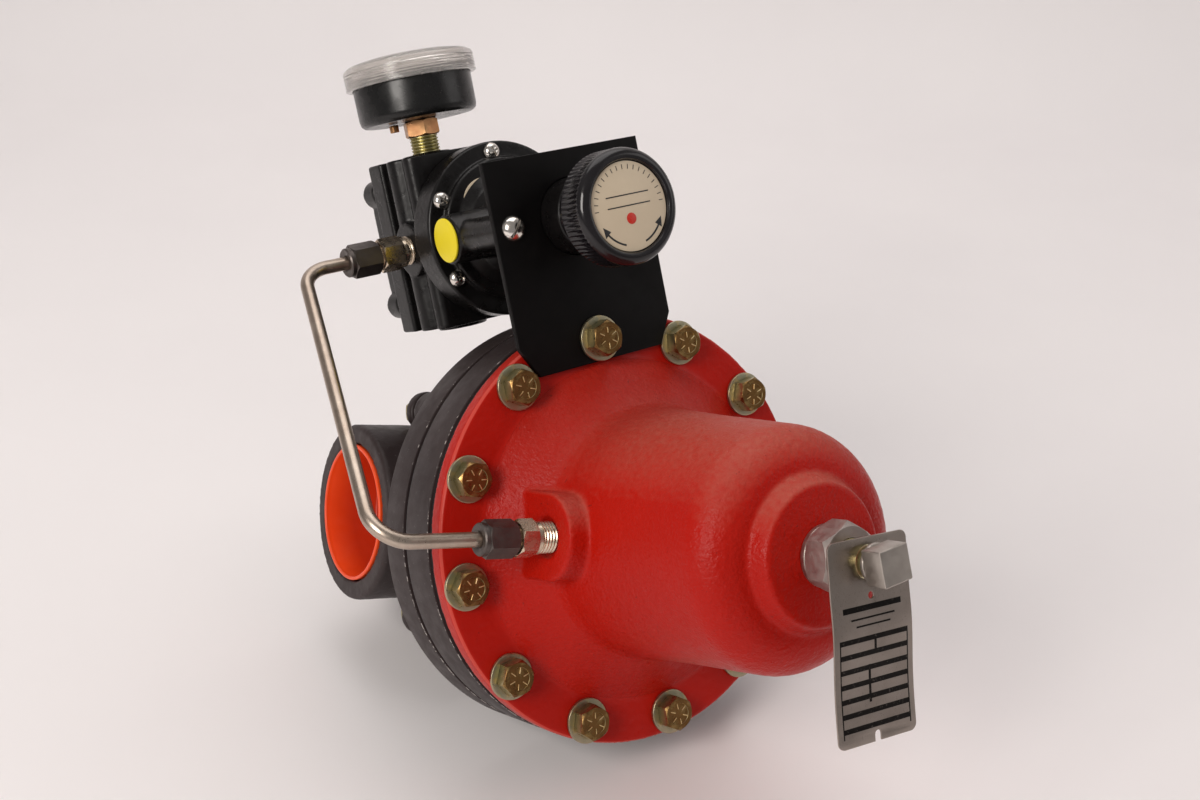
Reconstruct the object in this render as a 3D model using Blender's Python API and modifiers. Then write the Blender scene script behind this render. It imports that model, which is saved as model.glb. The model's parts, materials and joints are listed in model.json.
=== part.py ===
"""Air-loaded diaphragm regulating valve with a pilot air regulator, modelled piece by piece.

The valve's own axes are those of the empty "valve_axis": X to the right, Y towards the bracket, Z along
the main axis to the nose, with the origin in the red flange's front face. The empty tips the whole valve
so that it lies on the lower case's rear edge and the bottom plug, nose up, with its box's bottom centre at
the world origin. Lengths are in millimetres and MM turns them into Blender's metres.
"""

import math

import bmesh
import bpy
from mathutils import Matrix, Vector

MM = 0.001
GAP = 0.3  # between pieces that touch
TILT = 23.4  # degrees by which the nose is raised

# Clamped stack, bolted on a circle of twelve
FLANGE_R = 98.4
FLANGE_STEPS = 36
BOLT_CIRCLE_R = 88.9
BOLT_COUNT = 12
BOLT_R = 4.5
BOLT_HOLE_R = 5.2
BOLT_HEAD_FLATS = 14.3
BOLT_HEAD_HIGH = 6.3
WASHER_R = 10.3
WASHER_THICK = 1.8
BOLT_END = -46.0
CASE_BACK = -9.0
UPPER_SHEET = (-9.3, -11.7)
SPACER = (-12.0, -33.0)
LOWER_SHEET = (-33.3, -35.7)
LOWER_CASE = (-36.0, -53.0)
CHAMBER_R = 66.0
PLATE_R = 46.0

# Spring housing
LAND_R = 77.0
NOSE_R = 50.5
NOSE_Z = 123.0
NOSE_ROUND = 17.5
BOSS_FACE_Z = 130.9
BOSS_FACE_R = 28.6
THREAD_R = 7.94
PORT_ANGLE = 165.0  # degrees, direction of the left port and of the signal boss
SIGNAL_Z = 29.0
SIGNAL_FACE = 60.0
SIGNAL_HALF_WIDTH = 18.7

# Valve body
NECK_R = 52.0
JOINT_Z = -103.0
BODY_JOINT_Z = -104.6
BODY_FLANGE_BACK = -111.0
EAR_CIRCLE_R = 70.5
EAR_R = 10.3
EAR_TURN = 47.0  # degrees from the port axis to each ear
EAR_SCREW_FLATS = 12.7
RUN_Z = -124.0
RUN_R = 43.5
RUN_HALF = 84.0
RUN_BORE_R = 26.0
PORT_R = 34.0
PORT_DEEP = 32.0
BARREL_R = 47.0
BARREL_BACK = -168.0
PLUG_BACK = -185.0

# Pilot regulator
KNOB_Y = 144.5
PLATE_THICK = 3.0
BONNET_R = 41.5
BONNET_BACK = -73.0
BLOCK_BACK = -113.0
REAR_BACK = -127.0
GAUGE_X = -15.0
GAUGE_Z = -93.0
SUPPLY_Z = -88.0

# Loading line
TUBE_R = 3.175
FITTING_FLATS = 14.3
TUBE_BEND = 15.0

RED = ((0.46, 0.016, 0.010), 0.38, 0.0)
DARK_PAINT = ((0.045, 0.042, 0.042), 0.5, 0.0)
RUBBER = ((0.012, 0.012, 0.012), 0.7, 0.0)
ZINC_YELLOW = ((0.42, 0.36, 0.20), 0.4, 0.9)
STEEL_DARK = ((0.05, 0.047, 0.047), 0.5, 0.2)
STEEL = ((0.45, 0.44, 0.42), 0.35, 1.0)
PHOSPHATE = ((0.09, 0.085, 0.085), 0.45, 0.8)
NICKEL = ((0.62, 0.56, 0.48), 0.28, 1.0)
BLACK_COAT = ((0.012, 0.012, 0.012), 0.45, 0.0)
BLACK_PLASTIC = ((0.014, 0.013, 0.014), 0.25, 0.0)
ORANGE = ((0.95, 0.10, 0.01), 0.35, 0.0)
CREAM = ((0.72, 0.66, 0.54), 0.4, 0.0)
YELLOW = ((0.85, 0.68, 0.02), 0.45, 0.0)
BRASS = ((0.50, 0.30, 0.12), 0.35, 1.0)
CHROME = ((0.75, 0.74, 0.72), 0.15, 1.0)
CLEAR = ((0.80, 0.80, 0.78), 0.15, 0.0)
WHITE = ((0.80, 0.80, 0.78), 0.6, 0.0)


def clear_scene():
    for old in list(bpy.data.objects):
        bpy.data.objects.remove(old, do_unlink=True)


def new_collection(name):
    made = bpy.data.collections.new(name)
    bpy.context.scene.collection.children.link(made)
    return made


clear_scene()
PARTS = new_collection("diaphragm_regulating_valve")
CUTTERS = new_collection("cutters")


def new_finish(name, finish):
    colour, roughness, metallic = finish
    made = bpy.data.materials.new(name)
    made.use_nodes = True
    shader = made.node_tree.nodes["Principled BSDF"]
    shader.inputs["Base Color"].default_value = (*colour, 1.0)
    shader.inputs["Roughness"].default_value = roughness
    shader.inputs["Metallic"].default_value = metallic
    return made


def new_object(name, data, finish, parent, at, spin):
    """A piece of the valve, or a cutter when it has no finish."""
    made = bpy.data.objects.new(name, data)
    (PARTS if finish else CUTTERS).objects.link(made)
    made.parent = parent
    made.location = Vector(at) * MM
    made.rotation_euler = (0.0, 0.0, math.radians(spin))
    if finish:
        data.materials.append(new_finish(name, finish))
    else:
        made.hide_render = True
        made.display_type = "WIRE"
    return made


def new_axis(name, parent, at=(0, 0, 0), x_axis=(1, 0, 0), z_axis=(0, 0, 1)):
    """An empty whose Z axis is the line that its pieces turn about or lie along."""
    made = bpy.data.objects.new(name, None)
    PARTS.objects.link(made)
    made.parent = parent
    x_axis, z_axis = Vector(x_axis), Vector(z_axis)
    basis = Matrix((x_axis, z_axis.cross(x_axis), z_axis)).transposed()
    made.matrix_basis = Matrix.Translation(Vector(at) * MM) @ basis.to_4x4()
    return made


def smooth(mesh):
    mesh.shade_smooth()
    mesh.set_sharp_from_angle(angle=math.radians(35))


def turned(name, profile, steps, finish, parent, at=(0, 0, 0), spin=0.0, ring=False):
    """A profile of (radius, height) that runs down the outer side, turned about Z. A ring's profile
    comes back up the bore and closes."""
    mesh = bpy.data.meshes.new(name)
    points = [(radius * MM, 0.0, height * MM) for radius, height in profile]
    edges = [(i, i + 1) for i in range(len(points) - 1)]
    if ring:
        edges.append((len(points) - 1, 0))
    mesh.from_pydata(points, edges, [])
    made = new_object(name, mesh, finish, parent, at, spin)
    screw = made.modifiers.new("turn", "SCREW")
    screw.steps = screw.render_steps = steps
    screw.use_merge_vertices = True
    screw.merge_threshold = 0.00001
    return made


def rods(name, radius, low, high, places, sides, finish, parent, at=(0, 0, 0), spin=0.0):
    """Upright rods at the given (x, y) places, as one mesh; six sides with a spin make a hexagon."""
    mesh = bpy.data.meshes.new(name)
    shape = bmesh.new()
    for x, y in places:
        centre = Vector((x, y, (low + high) / 2)) * MM
        bmesh.ops.create_cone(
            shape,
            cap_ends=True,
            segments=sides,
            radius1=radius * MM,
            radius2=radius * MM,
            depth=(high - low) * MM,
            matrix=Matrix.Translation(centre),
        )
    shape.to_mesh(mesh)
    shape.free()
    if sides > 8:
        smooth(mesh)
    return new_object(name, mesh, finish, parent, at, spin)


def arc(centre_x, centre_y, radius, start, end, count):
    """Points along an arc, with its end angles in degrees."""
    angles = [math.radians(start + (end - start) * i / count) for i in range(count + 1)]
    return [(centre_x + radius * math.cos(a), centre_y + radius * math.sin(a)) for a in angles]


def round_box(left, right, low, high, radius, count=4):
    points = []
    points += arc(right - radius, high - radius, radius, 0, 90, count)
    points += arc(left + radius, high - radius, radius, 90, 180, count)
    points += arc(left + radius, low + radius, radius, 180, 270, count)
    points += arc(right - radius, low + radius, radius, 270, 360, count)
    return points


def plate(name, outlines, low, high, finish, parent, at=(0, 0, 0), spin=0.0):
    """A flat piece between two heights: the first outline is its edge and any others are holes."""
    curve = bpy.data.curves.new(name, "CURVE")
    curve.dimensions = "2D"
    curve.fill_mode = "BOTH"
    curve.extrude = (high - low) / 2 * MM
    for outline in outlines:
        spline = curve.splines.new("POLY")
        spline.points.add(len(outline) - 1)
        for point, (x, y) in zip(spline.points, outline):
            point.co = (x * MM, y * MM, 0.0, 1.0)
        spline.use_cyclic_u = True
    guide = bpy.data.objects.new(name + "_outline", curve)
    CUTTERS.objects.link(guide)
    bpy.context.view_layer.update()
    mesh = bpy.data.meshes.new_from_object(guide.evaluated_get(bpy.context.evaluated_depsgraph_get()))
    bpy.data.objects.remove(guide)
    mesh.transform(Matrix.Translation((0.0, 0.0, (low + high) / 2 * MM)))
    shape = bmesh.new()
    shape.from_mesh(mesh)
    bmesh.ops.remove_doubles(shape, verts=shape.verts, dist=0.00001)
    bmesh.ops.recalc_face_normals(shape, faces=shape.faces)
    shape.to_mesh(mesh)
    shape.free()
    return new_object(name, mesh, finish, parent, at, spin)


def combine(piece, other, operation):
    step = piece.modifiers.new(operation.lower(), "BOOLEAN")
    step.operation = operation
    step.object = other


def cut(piece, cutter):
    combine(piece, cutter, "DIFFERENCE")


def join(piece, other):
    combine(piece, other, "UNION")


def around(radius, count, first=90.0):
    """Places on a circle, the first at the given angle."""
    angles = [math.radians(first + 360.0 * i / count) for i in range(count)]
    return [(radius * math.cos(a), radius * math.sin(a)) for a in angles]


def hexagon(flats):
    """Corner radius of a hexagon from its size across flats."""
    return flats / math.sqrt(3)


VALVE = new_axis("valve_axis", None)
TURN = math.radians(PORT_ANGLE)
PORT_WAY = Vector((math.cos(TURN), math.sin(TURN), 0.0))
HALF_STEP = 180.0 / FLANGE_STEPS  # puts a flat of each flange, and not a corner, lowest
BOLT_PLACES = around(BOLT_CIRCLE_R, BOLT_COUNT)
BOLT_HOLES = rods("bolt_holes", BOLT_HOLE_R, BOLT_END - 2, 5, BOLT_PLACES, 10, None, VALVE)
EAR_TURNS = (EAR_TURN, 180 - EAR_TURN, 180 + EAR_TURN, -EAR_TURN)
BODY_SCREW_PLACES = [around(EAR_CIRCLE_R, 1, PORT_ANGLE + turn)[0] for turn in EAR_TURNS]
BODY_SCREW_HOLES = rods("body_screw_holes", BOLT_HOLE_R, -120, -92, BODY_SCREW_PLACES, 10, None, VALVE)
PORT_AXIS = new_axis("port_axis", VALVE, (0, 0, RUN_Z), (0, 0, 1), PORT_WAY)
OTHER_PORT_AXIS = new_axis("other_port_axis", VALVE, (0, 0, RUN_Z), (0, 0, 1), -PORT_WAY)
SIGNAL_AXIS = new_axis("signal_axis", VALVE, (0, 0, SIGNAL_Z), (0, 0, 1), PORT_WAY)
PILOT_AXIS = new_axis("pilot_axis", VALVE, (0, KNOB_Y, 0))
SUPPLY_AXIS = new_axis("supply_axis", VALVE, (0, KNOB_Y - 1.5, SUPPLY_Z), (0, 0, 1), (-1, 0, 0))
GAUGE_AXIS = new_axis("gauge_axis", VALVE, (GAUGE_X, 0, GAUGE_Z), (1, 0, 0), (0, 1, 0))


def spring_housing():
    nose = arc(NOSE_R - NOSE_ROUND, NOSE_Z - NOSE_ROUND, NOSE_ROUND, 90, 0, 4)
    profile = [(THREAD_R + GAP, BOSS_FACE_Z), (BOSS_FACE_R, BOSS_FACE_Z), (BOSS_FACE_R + 2.6, NOSE_Z + 1)]
    profile += nose
    profile += [(53, 60), (55.6, 22), (59, 16.5), (68, 8.5), (LAND_R, 0)]
    profile += [(FLANGE_R - 1, 0), (FLANGE_R, -1), (FLANGE_R, CASE_BACK)]
    profile += [(CHAMBER_R, CASE_BACK), (CHAMBER_R, -4), (50, 9), (47, 20), (44, 104), (34, 115)]
    profile += [(THREAD_R + GAP, 115)]
    body = turned("spring_housing", profile, FLANGE_STEPS, RED, VALVE, spin=HALF_STEP, ring=True)
    # Tombstone boss for the signal line: in the boss's frame X runs along the main axis.
    half = SIGNAL_HALF_WIDTH
    outline = [(-SIGNAL_Z - 2, -half)] + arc(0, 0, half, -90, 90, 10) + [(-SIGNAL_Z - 2, half)]
    join(body, plate("signal_boss", [outline], 48, SIGNAL_FACE, None, SIGNAL_AXIS))
    cut(body, rods("signal_hole", 7.2, 30, 70, [(0, 0)], 16, None, SIGNAL_AXIS))
    cut(body, BOLT_HOLES)


def sheet(name, span, finish):
    top, bottom = span
    stem_hole = 5.2
    edge = FLANGE_R - 1.2
    profile = [(edge, top), (edge, bottom), (stem_hole, bottom), (stem_hole, top)]
    body = turned(name, profile, FLANGE_STEPS, finish, VALVE, spin=HALF_STEP, ring=True)
    cut(body, BOLT_HOLES)


def spacer_ring():
    top, bottom = SPACER
    profile = [(FLANGE_R - 0.6, top), (FLANGE_R, top - 0.6), (FLANGE_R, bottom), (CHAMBER_R + 4, bottom)]
    profile += [(CHAMBER_R + 4, top)]
    body = turned("spacer_ring", profile, FLANGE_STEPS, DARK_PAINT, VALVE, spin=HALF_STEP, ring=True)
    cut(body, BOLT_HOLES)


def ears_outline():
    """Four round-ended ears, one beside each corner of the ports, which carry the body screws."""
    points = []
    root = NECK_R - 4
    for x, y in BODY_SCREW_PLACES:
        way = Vector((x, y)).normalized()
        side = Vector((-way.y, way.x)) * EAR_R
        angle = math.degrees(math.atan2(y, x))
        points.append(tuple(way * root - side))
        points += arc(x, y, EAR_R, angle - 90, angle + 90, 8)
        points.append(tuple(way * root + side))
    return points


def lower_case():
    top, bottom = LOWER_CASE
    profile = [(FLANGE_R - 0.6, top), (FLANGE_R, top - 0.6), (FLANGE_R, bottom), (NECK_R + 6, bottom)]
    profile += [(NECK_R, bottom - 5), (NECK_R, JOINT_Z), (30, JOINT_Z), (30, -72), (5.2, -72), (5.2, -46.5)]
    profile += [(CHAMBER_R, -46.5), (CHAMBER_R, top)]
    body = turned("lower_case", profile, FLANGE_STEPS, DARK_PAINT, VALVE, spin=HALF_STEP, ring=True)
    core = arc(0, 0, 40, 0, 345, 23)
    join(body, plate("case_ears", [ears_outline(), core], JOINT_Z + 0.6, -88, None, VALVE))
    cut(body, BOLT_HOLES)
    cut(body, BODY_SCREW_HOLES)


def body_gasket():
    front, back, hole = JOINT_Z - GAP, BODY_JOINT_Z + GAP, 31
    profile = [(NECK_R, front), (NECK_R, back), (hole, back), (hole, front)]
    turned("body_gasket", profile, 32, RUBBER, VALVE, ring=True)


def valve_body():
    flange = NECK_R + 4
    profile = [(0, BODY_JOINT_Z), (flange, BODY_JOINT_Z), (flange, BODY_FLANGE_BACK)]
    profile += [(BARREL_R, -120), (BARREL_R, BARREL_BACK), (0, BARREL_BACK)]
    body = turned("valve_body", profile, 32, DARK_PAINT, VALVE)
    run = rods("port_run", RUN_R, -RUN_HALF, RUN_HALF, [(0, 0)], 32, None, PORT_AXIS, spin=5.625)
    room_r = (NECK_R + 6) * math.sqrt(2)
    square = PORT_ANGLE + 45
    cut(run, rods("neck_room", room_r, BODY_JOINT_Z - 1, -60, [(0, 0)], 4, None, VALVE, spin=square))
    join(body, run)
    ears = plate("body_ears", [ears_outline()], BODY_FLANGE_BACK + 0.6, BODY_JOINT_Z - 0.6, None, VALVE)
    join(body, ears)
    cut(body, rods("run_bore", RUN_BORE_R, -RUN_HALF - 5, RUN_HALF + 5, [(0, 0)], 24, None, PORT_AXIS))
    for axis in (PORT_AXIS, OTHER_PORT_AXIS):
        low = RUN_HALF - PORT_DEEP
        cut(body, rods("port_bore", PORT_R, low, RUN_HALF + 5, [(0, 0)], 32, None, axis))
    cut(body, rods("stem_way", 12, -112, -100, [(0, 0)], 16, None, VALVE))
    cut(body, rods("plug_way", 24, BARREL_BACK - 5, -140, [(0, 0)], 24, None, VALVE))
    cut(body, BODY_SCREW_HOLES)


def bottom_plug():
    """Hexagonal plug; its lower flat touches the floor together with the lower case's rear edge."""
    tilt = math.radians(TILT)
    flat_r = FLANGE_R * math.cos(math.radians(HALF_STEP))
    ring_reach = flat_r * math.cos(tilt) - LOWER_CASE[1] * math.sin(tilt)
    apothem = (ring_reach + PLUG_BACK * math.sin(tilt)) / math.cos(tilt)
    corner, front = hexagon(2 * apothem), BARREL_BACK - GAP
    head = rods("bottom_plug", corner, PLUG_BACK, front, [(0, 0)], 6, STEEL_DARK, VALVE, spin=30)
    join(head, rods("plug_shank", 24 - GAP, BARREL_BACK - 1, -153, [(0, 0)], 24, None, VALVE))


def flange_bolt(number, place):
    """Hexagon-head bolt together with its washer, standing on the red flange or on the bracket."""
    x, y = place
    seat = GAP + (PLATE_THICK + GAP if number == 1 else 0.0)
    crown = seat + WASHER_THICK + BOLT_HEAD_HIGH
    corner = hexagon(BOLT_HEAD_FLATS)
    name = f"flange_bolt_{number:02d}"
    axis = new_axis(name + "_axis", VALVE, (x, y, 0))
    profile = [(0, seat + WASHER_THICK), (WASHER_R, seat + WASHER_THICK), (WASHER_R, seat)]
    profile += [(BOLT_R, seat), (BOLT_R, BOLT_END), (0, BOLT_END)]
    bolt = turned(name, profile, 12, ZINC_YELLOW, axis)
    twist = 11.0 * number % 60
    join(bolt, rods(name + "_head", corner, seat + 1, crown, [(0, 0)], 6, None, axis, spin=twist))


def body_screw(number, place):
    x, y = place
    name = f"body_screw_{number}"
    axis = new_axis(name + "_axis", VALVE, (x, y, 0))
    seat = BODY_FLANGE_BACK - GAP
    corner = hexagon(EAR_SCREW_FLATS)
    screw = rods(name, corner, seat - 7.5, seat, [(0, 0)], 6, ZINC_YELLOW, axis, spin=20.0 * number)
    join(screw, rods(name + "_shank", BOLT_R, seat - 1, -93, [(0, 0)], 12, None, axis))


def port_plug(name, axis):
    """Push-in cup with a thin rim, wall and floor; it narrows inwards so it pulls straight out."""
    face, floor, wall = RUN_HALF, RUN_HALF - 28, 1.8
    mouth, end = PORT_R - GAP, PORT_R - 4
    rim = face + 0.8
    profile = [(0, floor + wall), (end - wall, floor + wall), (mouth - wall, face - 1)]
    profile += [(mouth - wall, rim), (mouth, rim), (mouth, face - 1), (end, floor), (0, floor)]
    turned(name, profile, 32, ORANGE, axis)


def trim():
    """Stem, pressure plates, disc and seat plate inside the case and the body."""
    for name, top, bottom in (
        ("upper_pressure_plate", -4.0, UPPER_SHEET[0] + GAP),
        ("middle_pressure_plate", SPACER[0], SPACER[1]),
        ("lower_pressure_plate", LOWER_CASE[0], -40.0),
    ):
        profile = [(PLATE_R, top), (PLATE_R, bottom), (5.2, bottom), (5.2, top)]
        turned(name, profile, 24, STEEL, VALVE, ring=True)
    stem = [(0, 2), (9, 2), (9, -3.7), (4.8, -3.7), (4.8, -70), (3, -74), (3, RUN_Z + 4), (0, RUN_Z + 4)]
    turned("valve_stem", stem, 16, STEEL, VALVE)
    # The disc slides across the seat plate's face and hangs on the stem's thin end.
    face = -4.0
    rods("seat_plate", RUN_BORE_R - GAP, face - 5, face, [(0, 0)], 24, STEEL, PORT_AXIS)
    disc = rods("sliding_disc", 17, face + GAP, -face, [(0, 0)], 24, STEEL, PORT_AXIS)
    cut(disc, rods("stem_room", 3 + GAP, RUN_Z + 4 - GAP, RUN_Z + 20, [(0, 0)], 12, None, VALVE))


def range_spring():
    low, high, coil_r, wire_r, turns, per_turn = -3.7, 99.7, 24.0, 3.0, 5, 10
    count = turns * per_turn
    curve = bpy.data.curves.new("range_spring", "CURVE")
    curve.dimensions = "3D"
    curve.bevel_depth = wire_r * MM
    curve.bevel_resolution = 1
    curve.use_fill_caps = True
    spline = curve.splines.new("POLY")
    spline.points.add(count)
    rise = high - low - 2 * wire_r - 2 * GAP
    for i, point in enumerate(spline.points):
        angle = 2 * math.pi * i / per_turn
        height = low + wire_r + GAP + rise * i / count
        point.co = (coil_r * math.cos(angle) * MM, coil_r * math.sin(angle) * MM, height * MM, 1.0)
    new_object("range_spring", curve, STEEL, VALVE, (0, 0, 0), 0.0)


def adjuster():
    button = [(0, 106), (12, 106), (30, 102), (30, 100), (18, 100), (18, 92), (0, 92)]
    turned("spring_button", button, 24, STEEL, VALVE)
    # The screw's end stands on the button; its square head takes a wrench.
    screw = [(0, 165), (6, 165), (6, 150), (THREAD_R, 148.5), (THREAD_R, 106.3), (0, 106.3)]
    body = turned("adjusting_screw", screw, 20, STEEL, VALVE)
    join(body, rods("screw_head", 14 / math.sqrt(2), 159.5, 170, [(0, 0)], 4, None, VALVE, spin=45))
    washer_top = BOSS_FACE_Z + GAP + 2.6
    bore = THREAD_R + GAP
    washer = [(12.5, washer_top), (12.5, BOSS_FACE_Z + GAP), (bore, BOSS_FACE_Z + GAP), (bore, washer_top)]
    turned("seal_washer", washer, 24, RUBBER, VALVE, ring=True)
    nut = rods("lock_nut", hexagon(25.4), washer_top + GAP, 146, [(0, 0)], 6, STEEL, VALVE, spin=18)
    cut(nut, rods("nut_bore", bore, 120, 160, [(0, 0)], 20, None, VALVE))


def name_tag():
    """Thin tag that hangs from the screw's neck by its hole; the hole's centre is its origin."""
    edge = round_box(-19.75, 19.75, -68, 9.5, 3, 3)
    hole = arc(0, 0, 6.6, 0, 345, 23)
    plate("name_tag", [edge, hole], -0.4, 0.4, STEEL, VALVE, (0, 0, 155), -7.8)


def mounting_bracket():
    edge = [(-41, 174.3), (-41, 92.6), (-33.2, 78.7), (33.2, 78.7), (41, 92.6), (41, 174.3)]
    hole = arc(0, KNOB_Y, 17.3, 0, 345, 23)
    body = plate("mounting_bracket", [edge, hole], GAP, GAP + PLATE_THICK, BLACK_COAT, VALVE)
    cut(body, BOLT_HOLES)
    cut(body, rods("plate_screw_holes", 2.8, -2, 6, ((-32, 0), (32, 0)), 12, None, PILOT_AXIS))


def regulator():
    profile = [(0, 18), (17, 18), (17, 0), (20, 0), (20, -46), (23, -51), (33.5, -54), (33.5, -57)]
    profile += [(BONNET_R, -57), (BONNET_R, BONNET_BACK), (0, BONNET_BACK)]
    bonnet = turned("regulator_bonnet", profile, 28, BLACK_PLASTIC, PILOT_AXIS)
    join(bonnet, rods("bonnet_posts", 7.5, -56, -GAP, ((-31, 0), (31, 0)), 16, None, PILOT_AXIS))
    cross = new_axis("bonnet_side_axis", PILOT_AXIS, (0, 0, -45), (0, 0, 1), (-1, 0, 0))
    join(bonnet, rods("side_boss", 11.5, 0, 39, [(0, 0)], 20, None, cross))
    cut(bonnet, rods("bonnet_taps", 2.8, -12, 2, ((-32, 0), (32, 0)), 12, None, PILOT_AXIS))
    rods("side_plug", 10.2, 39 + GAP, 40.2, [(0, 0)], 24, YELLOW, cross)
    for side, x in (("left", -32), ("right", 32)):
        seat = 2 * GAP + PLATE_THICK
        head = [(0, seat + 3.4), (2.6, seat + 3.0), (4.6, seat + 1.6), (5.5, seat), (2.4, seat)]
        head += [(2.4, -11), (0, -11)]
        turned(f"bracket_screw_{side}", head, 16, CHROME, PILOT_AXIS, (x, 0, 0))
    front = BONNET_BACK - GAP
    left = [(33, front), (36, -76.5), (36, -80), (33.5, -82.5), (33.5, -84.5), (37, -87), (38, -91)]
    left += [(37, -95), (34, -97.5), (34, -99), (38, -101), (38, BLOCK_BACK)]
    right = [(14, BLOCK_BACK), (18, -106), (18, -80), (16, front)]
    section = [(-x, -z) for x, z in left] + [(x, -z) for x, z in right]
    block_axis = new_axis("block_axis", VALVE, (0, 0, 0), (1, 0, 0), (0, 1, 0))
    block = plate("regulator_body", [section], 103, 186, BLACK_PLASTIC, block_axis)
    for name, low, high in (("left_boss", 20, 38), ("right_boss", -38, -10)):
        join(block, rods(name, 13, low, high, [(0, 0)], 20, None, SUPPLY_AXIS))
    cut(block, rods("supply_hole", 7.2, 20, 50, [(0, 0)], 16, None, SUPPLY_AXIS))
    cut(block, rods("gauge_hole", 7.2, 175, 200, [(0, 0)], 16, None, GAUGE_AXIS))
    cap_front = BLOCK_BACK - GAP
    cap = plate("regulator_rear_cap", [round_box(-34, 34, -31, 31, 12)], REAR_BACK, cap_front,
                BLACK_PLASTIC, PILOT_AXIS)
    lugs = [(x, y) for x in (-31, 31) for y in (-28, 28)]
    join(cap, rods("cap_lugs", 7, REAR_BACK + 1, cap_front - 1, lugs, 14, None, PILOT_AXIS))


def knob():
    base = 18 + GAP
    profile = [(0, 46.2), (20.2, 46.2), (20.2, 48), (22.5, 48), (25, 45), (25, 33), (20, 31.5), (17.5, 30)]
    profile += [(17.5, base), (0, base)]
    turned("regulator_knob", profile, 28, BLACK_PLASTIC, PILOT_AXIS)
    rods("knob_label", 19.8, 46.2 + GAP, 47.1, [(0, 0)], 28, CREAM, PILOT_AXIS)


def gauge():
    socket = rods("gauge_socket", hexagon(14.3), 195, 203, [(0, 0)], 6, BRASS, GAUGE_AXIS, spin=12)
    join(socket, rods("gauge_thread", 6.6, 178, 196, [(0, 0)], 16, None, GAUGE_AXIS))
    join(socket, rods("gauge_tube", 3.4, 202, 208, [(0, 0)], 12, None, GAUGE_AXIS))
    floor = 203 + GAP
    case = [(28.5, 224), (28.5, floor + 2), (26.5, floor), (4, floor), (4, floor + 2)]
    case += [(26.5, floor + 2), (26.5, 224)]
    turned("gauge_case", case, 28, BLACK_PLASTIC, GAUGE_AXIS, ring=True)
    dial = [(26, 222), (26, 221), (2.4, 221), (2.4, 222)]
    turned("gauge_dial", dial, 28, WHITE, GAUGE_AXIS, ring=True)
    pointer_outline = [(-1.6, -6), (1.6, -6), (1.6, 0), (0.5, 19), (-0.5, 19), (-1.6, 0)]
    hand = plate("gauge_pointer", [pointer_outline], 222.6, 223.4, BLACK_COAT, GAUGE_AXIS, spin=135)
    join(hand, rods("pointer_shaft", 2.1, 209, 224.5, [(0, 0)], 12, None, GAUGE_AXIS))
    top = 235
    lens = [(0, top), (28, top - 0.8), (31.5, top - 3), (32, 222), (28.9, 222), (28.9, 226)]
    lens += [(27, top - 4), (0, top - 3)]
    turned("gauge_lens", lens, 28, CLEAR, GAUGE_AXIS)


def fitting(side, axis, seat, hole_deep):
    """Male connector and its tube nut; returns the two ends of the tube's seat in the nut."""
    hex_low, hex_high, nut_high = seat + 6, seat + 15, seat + 36
    top, bottom = hex_high + 2, seat - hole_deep
    profile = [(0, top), (5.5, top), (5.5, hex_low), (6.8, hex_low), (6.8, bottom), (0, bottom)]
    body = turned(f"{side}_fitting", profile, 16, NICKEL, axis)
    corner = hexagon(FITTING_FLATS)
    join(body, rods(f"{side}_hex", corner, hex_low, hex_high, [(0, 0)], 6, None, axis, spin=25))
    nut_low = top + GAP
    nut = rods(f"{side}_tube_nut", corner, nut_low, nut_high, [(0, 0)], 6, PHOSPHATE, axis, spin=10)
    cut(nut, rods(f"{side}_nut_bore", TUBE_R + GAP, nut_low - 5, nut_high + 5, [(0, 0)], 12, None, axis))
    return nut_low + 1


def rounded_route(corners, radius, count):
    """The corners' polyline with each inner corner turned into an arc."""
    points = [corners[0]]
    for before, corner, after in zip(corners, corners[1:], corners[2:]):
        inward = (before - corner).normalized()
        outward = (after - corner).normalized()
        half = inward.angle(outward) / 2
        reach = radius / math.tan(half)
        centre = corner + (inward + outward).normalized() * radius / math.sin(half)
        start = (corner + inward * reach - centre).normalized()
        end = (corner + outward * reach - centre).normalized()
        points += [centre + start.slerp(end, i / count) * radius for i in range(count + 1)]
    return points + [corners[-1]]


def loading_line():
    left_side = 38
    supply_in = fitting("regulator", SUPPLY_AXIS, left_side, 8)
    signal_in = fitting("signal", SIGNAL_AXIS, SIGNAL_FACE, 12)
    corners = [
        Vector((-supply_in, KNOB_Y - 1.5, SUPPLY_Z)),
        Vector((-93.0, KNOB_Y - 1.5, SUPPLY_Z)),
        PORT_WAY * 142.0 + Vector((0, 0, SIGNAL_Z)),
        PORT_WAY * signal_in + Vector((0, 0, SIGNAL_Z)),
    ]
    route = rounded_route(corners, TUBE_BEND, 6)
    curve = bpy.data.curves.new("loading_tube", "CURVE")
    curve.dimensions = "3D"
    curve.bevel_depth = TUBE_R * MM
    curve.bevel_resolution = 2
    curve.use_fill_caps = True
    spline = curve.splines.new("POLY")
    spline.points.add(len(route) - 1)
    for point, spot in zip(spline.points, route):
        point.co = (*(spot * MM), 1.0)
    new_object("loading_tube", curve, STEEL, VALVE, (0, 0, 0), 0.0)


def stand_on_floor():
    """Tips the valve and puts the bottom centre of its box at the origin."""
    VALVE.rotation_euler = (math.radians(90 - TILT), 0.0, 0.0)
    bpy.context.view_layer.update()
    depsgraph = bpy.context.evaluated_depsgraph_get()
    corners = []
    for piece in PARTS.objects:
        if piece.type == "EMPTY":
            continue
        evaluated = piece.evaluated_get(depsgraph)
        mesh = evaluated.to_mesh()
        corners += [evaluated.matrix_world @ vertex.co for vertex in mesh.vertices]
        evaluated.to_mesh_clear()
    low = [min(corner[i] for corner in corners) for i in range(3)]
    high = [max(corner[i] for corner in corners) for i in range(3)]
    VALVE.location = (-(low[0] + high[0]) / 2, -(low[1] + high[1]) / 2, -low[2])
    bpy.context.view_layer.update()


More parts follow.
